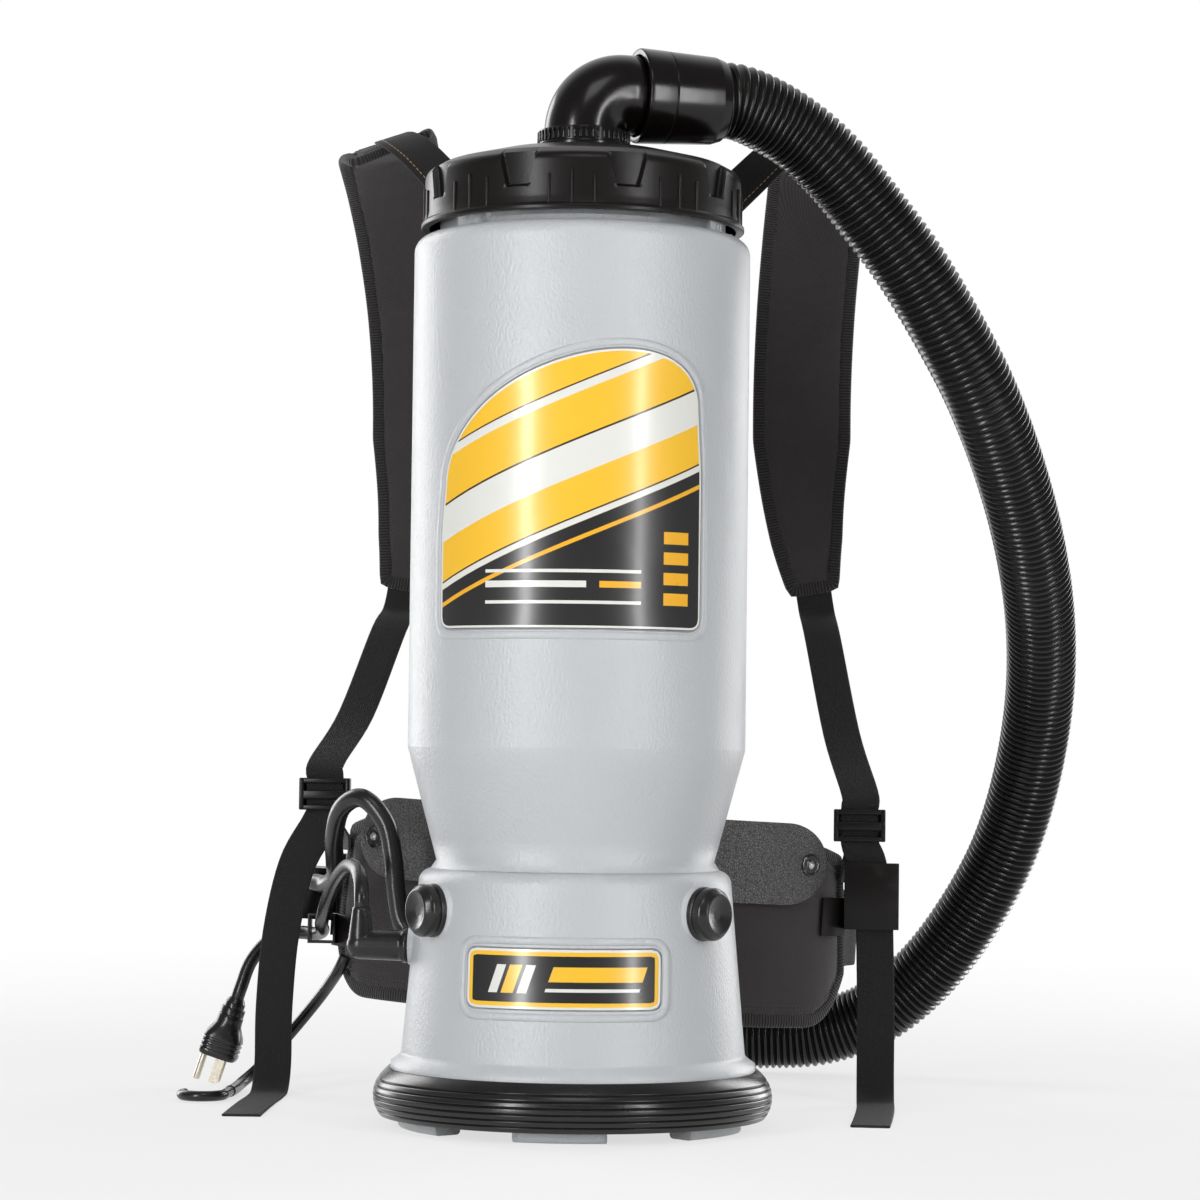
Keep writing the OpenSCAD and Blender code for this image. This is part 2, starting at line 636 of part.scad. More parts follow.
module cap() color("#262628") {
    difference() {
        cap_shell();
        // Finger notches, wider at the top
        for (i = [0:notch_count - 1]) rotate([0, 0, 360 / notch_count * (i + 0.5) - 90])
            translate([cap_r - notch_depth, 0, notch_z]) rotate([90, 0, 90])
                linear_extrude(10) polygon([[-7, 0], [7, 0], [15, 30], [-15, 30]]);
    }
    // Groups of three grip ribs
    for (i = [0:notch_count - 1], k = [-1, 0, 1]) rotate([0, 0, 360 / notch_count * i + 8 * k - 90])
        translate([cap_r - 0.6, -0.7, z_rim + 3]) cube([1.5, 1.4, 19 + (k == 0 ? 3 : 0)]);
    // Bayonet lugs
    for (i = [0:lug_count - 1])
        rotate([0, 0, 360 / lug_count * i - 90 - 12]) rotate_extrude(angle = 24)
            translate([neck_r + 1, z_rim + 1]) square([cap_r - cap_wall - neck_r, lug_t]);
    // Rib that presses the seal
    rotate_extrude() polygon([[bag_r - 1, z_seal + seal_t], [neck_r - 2, z_seal + seal_t],
        [neck_r - 2, z_cap_wall + 1], [bag_r - 1, z_cap_wall + 3]]);
}

module cap_seal() color("#1e1e20") translate([0, 0, z_seal]) ring(neck_r - 1, bag_r - 2, seal_t);

// ---------- inlet ----------

collar_foot = cap_wall + 3.2;
module inlet_collar() color("#1e1e20") difference() {
    union() {
        translate([0, 0, z_dome + seat_gap]) cylinder(r = collar_r, h = collar_h);
        translate([0, 0, z_dome + seat_gap]) cylinder(r = collar_r + 2, h = 1.6);
        translate([0, 0, z_dome - collar_foot]) cylinder(r = sleeve_r, h = collar_foot + 1);
        translate([0, 0, z_dome - collar_foot]) cylinder(r = sleeve_r + 3, h = 2.4);
        for (i = [0:47])
            rotate([0, 0, 7.5 * i])
                translate([collar_r - 0.5, -0.9, z_dome + 3.2]) cube([1.1, 1.8, collar_h - 5]);
    }
    translate([0, 0, z_dome - 20]) cylinder(r = elbow_r + run_gap, h = 40);
}

// Straight leg, bend and outlet of one radius, with the outlet along +X
elbow_foot = z_dome - collar_foot - 2.8;
tube_end = 50;
module elbow_run(r, extra) {
    translate([0, 0, elbow_foot - extra]) cylinder(r = r, h = z_bend - elbow_foot + extra);
    translate([elbow_bend, 0, z_bend]) rotate([90, 0, 0]) rotate([0, 0, 90])
        rotate_extrude(angle = 90) translate([elbow_bend, 0]) circle(r = r);
    translate([elbow_bend, 0, z_outlet]) rotate([0, 90, 0]) cylinder(r = r, h = tube_end - elbow_bend + extra);
}
module elbow() color("#161618") rotate([0, 0, outlet_angle]) difference() {
    union() {
        elbow_run(elbow_r, 0);
        // Snap lip under the collar
        translate([0, 0, elbow_foot]) cylinder(r = elbow_r + 1.2, h = 2.5);
    }
    elbow_run(elbow_r - elbow_wall, cut);
}

cuff_start = 35;
cuff_stop = tube_end + 7;
module hose_cuff() color("#161618") rotate([0, 0, outlet_angle])
    translate([0, 0, z_outlet]) rotate([0, 90, 0]) translate([0, 0, cuff_start]) rotate_extrude() polygon([
        [elbow_r, 2], [elbow_r + 1.5, 0], [cuff_d / 2 - 1.5, 0], [cuff_d / 2, 2], [cuff_d / 2 - 0.4, 18],
        [cuff_d / 2 - 1.1, 18.6], [cuff_d / 2 - 0.6, 19.4], [cuff_end_d / 2 + 0.6, cuff_l - 6],
        [cuff_end_d / 2 - 1.6, cuff_l], [cuff_bore_r, cuff_l], [cuff_bore_r, cuff_stop - cuff_start],
        [hose_bore / 2, cuff_stop - cuff_start], [hose_bore / 2, tube_end - cuff_start],
        [elbow_r, tube_end - cuff_start]]);

// Corner radii of the hose's ribs and of the grooves between them, on eight sides
hose_crest_r = hose_d / 2 + 0.5;
hose_root_r = hose_d / 2 - rib_depth;
cuff_bore_r = hose_crest_r + seat_gap;

// Route of the hose: out of the cuff, down in a wide arc, on to the floor and round behind the tank
out_dir = [cos(outlet_angle), sin(outlet_angle), 0];
function out_point(s) = out_dir * s + [0, 0, z_outlet];
end_z = end_cuff_d / 2 + 0.2;
hose_route = [out_point(cuff_stop), out_point(cuff_stop + 24), out_point(cuff_stop + 49), [130, 53, 644],
    [158, 64, 622], [184, 76, 592], [210, 88, 559], [236, 106, 519], [260, 131, 477], [281, 170, 430],
    [297, 212, 381], [307, 258, 330], [309, 302, 277], [302, 340, 220], [287, 368, 167], [262, 389, 118],
    [231, 402, 76], [195, 410, 46], [155, 415, 31], [112, 417, end_z], [68, 417, end_z], [25, 417, end_z],
    [-20, 417, end_z], [-68, 417, end_z]];
hose_path = smooth(hose_route, 6);
hose_l = path_length(hose_path);
echo(hose_length_mm = hose_l, rib_pitch_mm = hose_l / rib_count, rib_root_gap_mm = hose_l / rib_count / 2);

module hose() color("#1c1a1a") {
    p = even(hose_path, 2 * rib_count);
    q = even(hose_path, 60);
    side = [0, -1, 0.3];
    n = 8;
    outer = [for (i = [0:2 * rib_count])
        tube_ring(p[i], heading(p, i), side, i % 2 == 0 ? hose_root_r : hose_crest_r, n)];
    bore = [for (i = [60:-1:0]) tube_ring(q[i], heading(q, i), side, hose_bore / 2, n)];
    pipe_skin(concat(outer, bore));
}

module hose_end_cuff() color("#161618")
    translate(hose_route[len(hose_route) - 1] + [hose_seat, 0, 0]) rotate([0, -90, 0])
    let (r = end_cuff_d / 2) rotate_extrude() polygon([
        [cuff_bore_r, 0], [r - 1, 0], [r, 1], [r, hose_seat + 6], [r - 2, hose_seat + 10],
        [r - 2, end_cuff_l - 1], [r - 3, end_cuff_l], [hose_bore / 2, end_cuff_l],
        [hose_bore / 2, hose_seat], [cuff_bore_r, hose_seat]]);

// ---------- harness ----------

module wing_outline() translate([0, wing_z]) round_rect(2 * wing_x, wing_h, wing_h / 2 - 1);

screw_head = 2;
plate_foot = 75;
module backplate() color("#2c2c2e") difference() {
    union() {
        translate([0, plate_y + plate_t, 0]) rotate([90, 0, 0]) linear_extrude(plate_t) difference() {
            union() {
                translate([0, plate_top - 250]) round_rect(150, 500, 30);
                translate([0, plate_foot + 65]) round_rect(120, 130, 24);
            }
            for (i = [0:3]) translate([0, plate_top - 300 + 60 * i]) round_rect(44, 30, 10);
        }
        worn() intersection() {
            translate([0, 0, wing_z - wing_h]) linear_extrude(2 * wing_h)
                hip_band(-62, 62, seat_gap, seat_gap + plate_t, 48);
            translate([0, plate_y + 120, 0]) forward_bar(130) wing_outline();
        }
    }
    each_screw() translate([0, 0, -cut]) cylinder(r = screw_r + 0.2, h = plate_t + 2 * cut);
    each_screw() translate([0, 0, plate_t - screw_head]) cylinder(r = 2 * screw_r + 0.5, h = screw_head + cut);
    worn() for (s = [-1, 1]) rivet_place(s) translate([0, 0, -8]) cylinder(r = 2.1, h = 12);
}

module backplate_screws() color("gray") each_screw() {
    translate([0, 0, plate_t - screw_head]) cylinder(r = 2 * screw_r, h = screw_head);
    translate([0, 0, -screw_l]) cylinder(r = screw_r, h = plate_t + screw_l - 1);
}

// Places a rivet square to the wing's outer face, +Z outwards
rivet_a = 50;
module rivet_place(s) let (at = hip(s * rivet_a, seat_gap + plate_t)) translate([at.x, at.y, wing_z])
    rotate([90, 0, s * atan(tan(rivet_a) * hip_b / hip_a)]) children();

module wing_rivets() color("darkgray") worn() for (s = [-1, 1]) rivet_place(s) {
    translate([0, 0, 0.2]) ring(7.5, 2, 1.2);
    translate([0, 0, -plate_t]) cylinder(r = 2, h = plate_t + 3);
}

// Lumbar pad: flat on the backplate, crowned, with two sewn channels
module lumbar_pad() color("#3a3638") {
    z0 = wing_z + wing_h / 2 + 16;
    z1 = plate_top - 50;
    n = 24;
    skin([for (i = [0:n]) let (u = i / n, edge = min(1, 6 * min(u, 1 - u)),
        w = 62 * (0.8 + 0.2 * sqrt(edge)) - 8 * u,
        dip = 1 - 0.45 * max(0, 1 - abs(u - 0.33) * 20) - 0.45 * max(0, 1 - abs(u - 0.67) * 20),
        t = 3 + (lumbar_t - 3) * sqrt(edge) * dip)
        [for (k = [0:9]) let (a = 180 * k / 9)
            [w * sign(cos(a)) * pow(abs(cos(a)), 0.6), plate_y + plate_t + seat_gap + t * pow(sin(a), 0.7),
             z0 + (z1 - z0) * u]]]);
}

// Belt pad: follows the hip oval, crowned, with a slanted rounded end
pad_a0 = 1.5;
pad_a1 = 69;
pad_lo = 62;
pad_hi = 188;
module belt_pad(s) {
    n = 22;
    worn() skin([for (i = [0:n]) let (u = i / n, fade = pow(min(1, min(u, 1 - u) * 9), 0.5),
        lo = pad_lo + 34 * pow(max(0, u - 0.75) / 0.25, 2), hi = pad_hi - 12 * u * u, mid = (lo + hi) / 2,
        ring = lens((hi - lo) * (0.9 + 0.1 * fade), 3 + (pad_t - 3) * fade, 14))
        [for (q = s > 0 ? ring : [for (j = [13:-1:0]) ring[j]])
            let (a = pad_a0 + (pad_a1 - pad_a0) * u - 0.06 * u * q.x, h = hip(s * a, q.y - pad_t / 2))
            [h.x, h.y, mid + q.x]]]);
}
module belt_pad_left() color("#3a3638") belt_pad(-1);
module belt_pad_right() color("#3a3638") belt_pad(1);

// Belt webbing: from the end of the pad round the front to the buckle
belt_z = 125;
front_y = hip_y + 107;
up = [0, 0, 1];
module belt_webbing(s, end_x) {
    start = hip(pad_a1 + 2.4, -pad_t / 2);
    pts = [start, start + [4, 20], [hip_a - 7, hip_y + 5], [hip_a - 16, hip_y + 47], [hip_a - 44, hip_y + 85],
        [106, front_y - 4], [82, front_y], [50, front_y], [end_x, front_y]];
    worn() ribbon([for (p = pts) [s * p.x, p.y, belt_z]], [for (p = pts) up], belt_w, 3);
}
module belt_webbing_left() color("#1c1c1e") belt_webbing(-1, 34);
module belt_webbing_right() color("#1c1c1e") belt_webbing(1, 12);

// Side release buckle: prongs slide out of the socket along the belt
buckle_h = 60;
buckle_l = 40;
module buckle_female() color("#202022") worn()
    translate([-buckle_l, front_y - 4, belt_z - buckle_h / 2]) difference() {
        cube([buckle_l, 15, buckle_h]);
        translate([14, 6.6, 7.4]) cube([buckle_l, 5.8, buckle_h - 14.8]);
        translate([-cut, 2.8, buckle_h / 2 - belt_w / 2 - 0.8]) cube([9, 2.4, belt_w + 1.6]);
    }

module buckle_male() color("#202022") worn() translate([seat_gap, front_y - 4, belt_z - buckle_h / 2]) {
    difference() {
        cube([34, 13.4, buckle_h]);
        translate([-cut, 2.4, buckle_h / 2 - belt_w / 2 - 0.8]) cube([34 + 2 * cut, 3.2, belt_w + 1.6]);
    }
    for (z = [8.4, buckle_h / 2 - 4, buckle_h - 16.4]) translate([-22, 7.2, z]) cube([22.5, 4.6, 8]);
}

// Shoulder straps: webbing up from the backplate, then a pad over the shoulder.
// Places are measured from the middle of the backplate's top edge, on its face towards the tank.
shoulder_x = hip_a - 41;
function from_top(p) = [p.x, plate_y + p.y, plate_top + p.z];
web_points = [[50, -1.4, -38], [66, -1.8, -20], [84, 1, 1], [104, 7, 22], [shoulder_x - 26, 16, 40.5],
    [shoulder_x - 12, 30, 51.3], [shoulder_x - 5, 46, 55.4]];
web_sides = [[1, 0, -1], [1, 0, -1], [1, 0, -1], [1, -0.1, -0.9], [1, -0.3, -0.7], [1, -0.3, -0.45],
    [1, -0.2, -0.35]];
module shoulder_webbing(s)
    ribbon([for (p = web_points) let (q = from_top(p)) [s * q.x, q.y, q.z]],
        [for (d = web_sides) [s * d.x, d.y, d.z]], strap_w);
module shoulder_webbing_left() color("#1c1c1e") shoulder_webbing(-1);
module shoulder_webbing_right() color("#1c1c1e") shoulder_webbing(1);

pad_points = [[-7, 38, 46], [-2, 50, 50], [0, 62, 51.5], [2, 88, 49], [0, 123, 30], [-4, 156, -4],
    [-8, 184, -52], [-10, 200, -110], [-9, 204, -170], [-5, 202, -215], [0, 198, -248]];
pad_route = [for (p = pad_points) from_top(p + [shoulder_x, 0, 0])];
module shoulder_pad(s) {
    p = even(smooth(pad_route, 4), 24);
    skin([for (i = [0:24]) let (u = i / 24, fade = pow(min(1, min(u, 1 - u) * 10), 0.5),
        tip = min(1, 0.55 + 1.6 * (1 - u)), d = [1, 0, -0.32 * (1 - u)], t = i == 24 ? pad_out : heading(p, i),
        nn = unit(cross(d, t)), x = unit(cross(t, nn)),
        ring = lens(shoulder_w * tip * (0.8 + 0.2 * fade), 4 + (shoulder_t - 4) * fade, 12))
        [for (q = s < 0 ? ring : [for (j = [11:-1:0]) ring[j]])
            let (v = p[i] + x * q.x + nn * q.y) [s * v.x, v.y, v.z]]]);
}
module shoulder_pad_left() color("#3a3638") shoulder_pad(-1);
module shoulder_pad_right() color("#3a3638") shoulder_pad(1);

// Side strap: down from the shoulder pad, through the ladder lock, and its tail down to the floor.
// x is measured from the widest place of the hip belt and y from the middle of its oval.
tail_y = hip_y - 61;
lock_h = 22;
floor_z = web_t / 2;
lock_l = [-(hip_a - 3), tail_y, wing_z + 36];
lock_r = [hip_a - 8, tail_y, wing_z + 19];
pad_end = pad_route[len(pad_route) - 1];
pad_out = unit(pad_end - pad_route[len(pad_route) - 2]);
function strap_top(lock) = let (s = sign(lock.x), a = [s * pad_end.x, pad_end.y, pad_end.z],
    out = [s * pad_out.x, pad_out.y, pad_out.z])
    [a + 3 * seat_gap * out, a + 12 * out, 0.8 * a + 0.2 * lock, 0.38 * a + 0.62 * lock,
     lock + [0, 6, lock_h], lock + [0, 0, lock_h / 2], lock - [0, 0, lock_h / 2]];
function strap_drop(lock, places) = [for (p = places) [sign(lock.x) * (hip_a + p.x), tail_y + p.y, p.z]];
function floor_run(x) = [for (p = [[0, -34], [-1, -74], [-3, -124], [-5, -164]]) [x + p.x, p.y, floor_z]];
side_left = concat(strap_top(lock_l), strap_drop(lock_l, concat([[1, 0, 184], [16, 0, 156],
    [26, 0, 110], [30, 0, 60], [30, -2, 22], [30, -14, 4]], floor_run(30))));
side_right = concat(strap_top(lock_r), strap_drop(lock_r, concat([[-2, 0, 162], [2, 0, 135],
    [3, 0, 110], [4, 0, 60], [4, -2, 22], [4, -14, 4]], floor_run(4))));
across = [1, 0, 0];
module side_strap_left() color("#1c1c1e") ribbon(side_left, [for (p = side_left) across], strap_w, 3);
module side_strap_right() color("#1c1c1e") ribbon(side_right, [for (p = side_right) across], strap_w, 3);

// Ladder locks: flat frames that grip the side straps
module ladder_lock(at) translate(at) difference() {
    translate([-strap_w / 2 - 4, -4, -lock_h / 2]) cube([strap_w + 8, 8, lock_h]);
    translate([-strap_w / 2 - 1.2, -1.6, -lock_h / 2 - cut]) cube([strap_w + 2.4, 3.2, lock_h + 2 * cut]);
}
module ladder_locks() color("#161618") {
    ladder_lock(lock_l);
    ladder_lock(lock_r);
}

// Webbing tabs that tie the ladder locks to the belt pads
tab_a = 67.5;
function on_pad(s, a, off, z) = let (h = hip(s * a, off)) worn_point([h.x, h.y, z]);
module lock_tab(lock, s) {
    slant = [0.47, s * 0.88, 0];
    under = lock_h / 2;
    ribbon([lock - [0, -3, under + 3 * seat_gap], lock - [0, -3.4, under + 4], lock - [s, -6, under + 9],
        on_pad(s, tab_a, -0.4, pad_hi - 20), on_pad(s, tab_a, -1.8, pad_hi - 30)],
        [across, across, across, slant, slant], strap_w - 7, 3);
}
module lock_tabs() color("#1c1c1e") {
    lock_tab(lock_l, -1);
    lock_tab(lock_r, 1);
}

// Keepers sewn to the pads' ends: the right one holds the strap's tail, the left one the plug lead
keeper_t = 1.6;
keeper_w = 37;
keeper_d = 8.4;
keeper_h = 45;
tail_keeper = [hip_a - 18, tail_y - 5, 118];
lead_keeper = [-hip_a - 8, tail_y + 2, 103];
module strap_keepers() color("#161618") {
    difference() {
        union() {
            translate(tail_keeper) cube([keeper_w, keeper_d, keeper_h]);
            translate(tail_keeper) cube([keeper_t, 13, 22]);
            worn() translate([0, 0, 122]) linear_extrude(26) hip_band(56, 66.5, 0.5, 0.5 + keeper_t, 6);
        }
        translate(tail_keeper + [keeper_t, keeper_t, -cut])
            cube([keeper_w - 2 * keeper_t, keeper_d - 2 * keeper_t, keeper_h + 2 * cut]);
    }
    difference() {
        union() {
            translate(lead_keeper) cube([19, 12, 20]);
            worn() translate([0, 0, 92]) linear_extrude(22) hip_band(-69, -58, 0.5, 0.5 + keeper_t, 6);
        }
        translate(lead_keeper + [keeper_t, -cut, keeper_t]) cube([19 - 2 * keeper_t, 14, 20 - 2 * keeper_t]);
    }
}

// ---------- switch ----------

box_l = 42;
box_w = 24;
box_h = 36;
box_at = [-(hip_a - 7) - web_t / 2 - seat_gap - box_w, hip_y - 14, belt_z - box_h / 2];
clip_w = 22;
clip_t = 2;
slot_w = web_t + 1.9;
rocker_r = 9;
rocker_w = 14;
rocker_tilt = 8;
pivot_r = 1.5;
rocker_at = [box_at.x + 6, box_at.y + box_l / 2, belt_z];
module switch_box() color("#202022") worn() difference() {
    union() {
        translate(box_at) cube([box_w, box_l, box_h]);
        // Clip round the belt webbing
        translate([box_at.x + box_w - clip_t, hip_y + 5 - clip_w / 2, belt_z - belt_w / 2 - 3.5])
            cube([2 * clip_t + slot_w, clip_w, belt_w + 7]);
    }
    translate([box_at.x + box_w, hip_y + 5 - clip_w / 2 - cut, belt_z - belt_w / 2 - 0.7])
        cube([slot_w, clip_w + 2 * cut, belt_w + 1.4]);
    translate(rocker_at) rotate([90, 0, 0]) {
        cylinder(r = rocker_r + 0.6, h = rocker_w + 0.8, center = true);
        cylinder(r = pivot_r + run_gap, h = rocker_w + 8, center = true);
    }
    // Entry for the cord
    translate([box_at.x + box_w / 2, box_at.y + 5, belt_z + 8]) rotate([90, 0, 0]) cylinder(r = 4, h = 10);
}
// Two faces meet in a shallow valley; the rocker rests on its lower face
module switch_rocker() color("#8c1c1c") worn() translate(rocker_at) rotate([0, rocker_tilt, 0]) difference() {
    rotate([90, 0, 0]) {
        cylinder(r = rocker_r, h = rocker_w, center = true);
        cylinder(r = pivot_r, h = rocker_w + 7, center = true);
    }
    for (s = [-1, 1]) rotate([0, s * rocker_tilt, 0])
        translate([-20 - 7.6, -10, s > 0 ? 0 : -20]) cube([20, 20, 20]);
}

// ---------- glands and cords ----------

relief_x = 136;
relief_h = 24;
module lead_strain_relief() color("#161618") translate([0, 0, gland_z]) {
    rotate([0, -90, 0]) translate([0, 0, gland_face]) {
        cylinder(r = 11, h = 4);
        cylinder(r1 = 10, r2 = 9, h = relief_x - gland_face);
    }
    translate([-relief_x, 0, 0]) sphere(r = 9);
    translate([-relief_x, 0, 0]) cylinder(r1 = 8.5, r2 = lead_d / 2 + 0.8, h = relief_h);
    rotate([0, -90, 0]) translate([0, 0, skirt_top_r - 6]) cylinder(r = 5.8, h = gland_face - skirt_top_r + 7);
}

boot_l = 22;
module switch_gland() color("#161618") rotate([0, 0, switch_angle])
    translate([gland_face, 0, gland_z]) rotate([0, 90, 0]) {
        cylinder(r = 11, h = 4);
        cylinder(r1 = 9.4, r2 = switch_cord_d / 2 + 0.8, h = boot_l);
        translate([0, 0, -10]) cylinder(r = 7.8, h = 11);
    }

// The switch cord arches up beside the tank and runs round to the switch box
switch_dir = [cos(switch_angle), sin(switch_angle), 0];
boot_end = switch_dir * (gland_face + boot_l) + [0, 0, gland_z];
box_entry = worn_point([box_at.x + box_w / 2, box_at.y, belt_z + 8]);
switch_route = [boot_end, boot_end + switch_dir * 8, [-120, 83, 123], [-124, 84, 143], [-126, 84, 164],
    [-132, 86, 188], [-148, 92, 204], [-164, 108, 197], [-172, 132, 178], [-175, 158, 160], [-178, 184, 149],
    [-187, 206, 143], box_entry - [0, 12, 0], box_entry];
module switch_cord() color("#161618") cord_tube(switch_route, 5, switch_cord_d, 34, [1, 0.3, 0.2]);

// The plug lead leaves its elbow upwards, runs back through the keeper and hangs with its plug
plug_axis = [0.309, 0, 0.951];
plug_tip = [-270, 222, 3];
prong_l = 19;
plug_l = 43;
plug_top = plug_tip + plug_axis * (prong_l + plug_l);
lead_route = [[-relief_x, 0, gland_z + relief_h], [-relief_x, 0, gland_z + relief_h + 7], [-137.5, 7, 152],
    [-142, 22, 159], [-150, 46, 161], [-159, 76, 156], [-169, 110, 146], [-179, 146, 131], [-186.5, 180, 117],
    [-188.5, 200, 111], [-196, 217, 108], [-211, 230, 108], [-229, 232, 103], [-242, 227, 88],
    plug_top + plug_axis * 8, plug_top];
module power_lead() color("#161618") cord_tube(lead_route, 5, lead_d, 30, [0.2, 0.1, 1]);

// Moulded three pin plug, prongs down
module power_plug() color("#161618") translate(plug_tip) rotate([0, atan2(plug_axis.x, plug_axis.z), 0]) {
    translate([0, 0, prong_l]) hull() {
        translate([0, 0, 2]) linear_extrude(12) round_rect(27, 24, 5);
        linear_extrude(2) round_rect(25, 22, 4);
        translate([0, 0, 24]) cylinder(r = 9, h = 8, $fn = 32);
    }
    translate([0, 0, prong_l + 31]) cylinder(r = 7, h = plug_l - 34);
    translate([0, 0, prong_l + 31]) cylinder(r = 8.5, h = 5);
    translate([0, 0, prong_l + plug_l - 5]) cylinder(r1 = 7, r2 = 5.4, h = 5);
    for (y = [-6.35, 6.35]) translate([0, y - 0.75, 1.5]) cube([6.4, 1.5, prong_l]);
    translate([-9.5, 0, 0]) cylinder(r = 2.4, h = prong_l + 1);
}

// Tether and hook that hold the extension cord; the hook lies on the floor
hook_r = 3.5;
hook_bend = 14;
hook_top = [-243, 150, tether_d / 2 + 0.1];
tether_route = [on_pad(-1, 59, 3.9, 86), on_pad(-1, 61, 5, 76), [-186, 199, 70], [-200, 210, 53],
    [-217, 214, 33], [-233, 208, 15], [-242, 192, 6], hook_top + [0, 20, 0], hook_top];
module hook_tether() color("#161618") cord_tube(tether_route, 5, tether_d, 14, [1, 0.3, 0.3]);
module cord_hook() color("#161618") {
    translate(hook_top) rotate([90, 0, 0]) cylinder(r = hook_r, h = 26);
    translate(hook_top - [0, 26, 0]) sphere(r = hook_r + 0.05);
    translate(hook_top - [hook_bend, 26, 0]) rotate([0, 0, -200]) rotate_extrude(angle = 200)
        translate([hook_bend, 0]) circle(r = hook_r);
}

tank();
lower_housing();
base_tray();
bumper_ring();
base_feet();
base_screws();
label_panel();
name_plate();
side_bumper_left();
side_bumper_right();
filter_bag();
bag_ring();
dome_filter();
motor_plate();
motor_gasket();
fan_housing();
field_stack();
field_coils();
brush_bracket();
brush_holders();
bearings();
exhaust_filter();
lead_strain_relief();
switch_gland();
switch_cord();
switch_box();
backplate();
backplate_screws();
wing_rivets();
lumbar_pad();
belt_pad_left();
belt_pad_right();
belt_webbing_left();
belt_webbing_right();
buckle_female();
shoulder_webbing_left();
shoulder_webbing_right();
shoulder_pad_left();
shoulder_pad_right();
side_strap_left();
side_strap_right();
ladder_locks();
lock_tabs();
strap_keepers();
hook_tether();
cord_hook();
power_lead();
power_plug();
motor_shaft();
impeller();
armature();
switch_rocker();
buckle_male();
inlet_collar();
cap();
cap_seal();
elbow();
hose_cuff();
hose();
hose_end_cuff();
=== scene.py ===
# %% [markdown]
# # A backpack vacuum cleaner
# A tank worn on the back: a moulded grey shell stands on a rubber bumper, a black cap closes it, and a ribbed
# hose leaves through a swivel elbow. A harness of webbing and padded cloth carries it. The solids and their
# places come from the CAD frame, and this script gives each of them its looks.

import json
import math

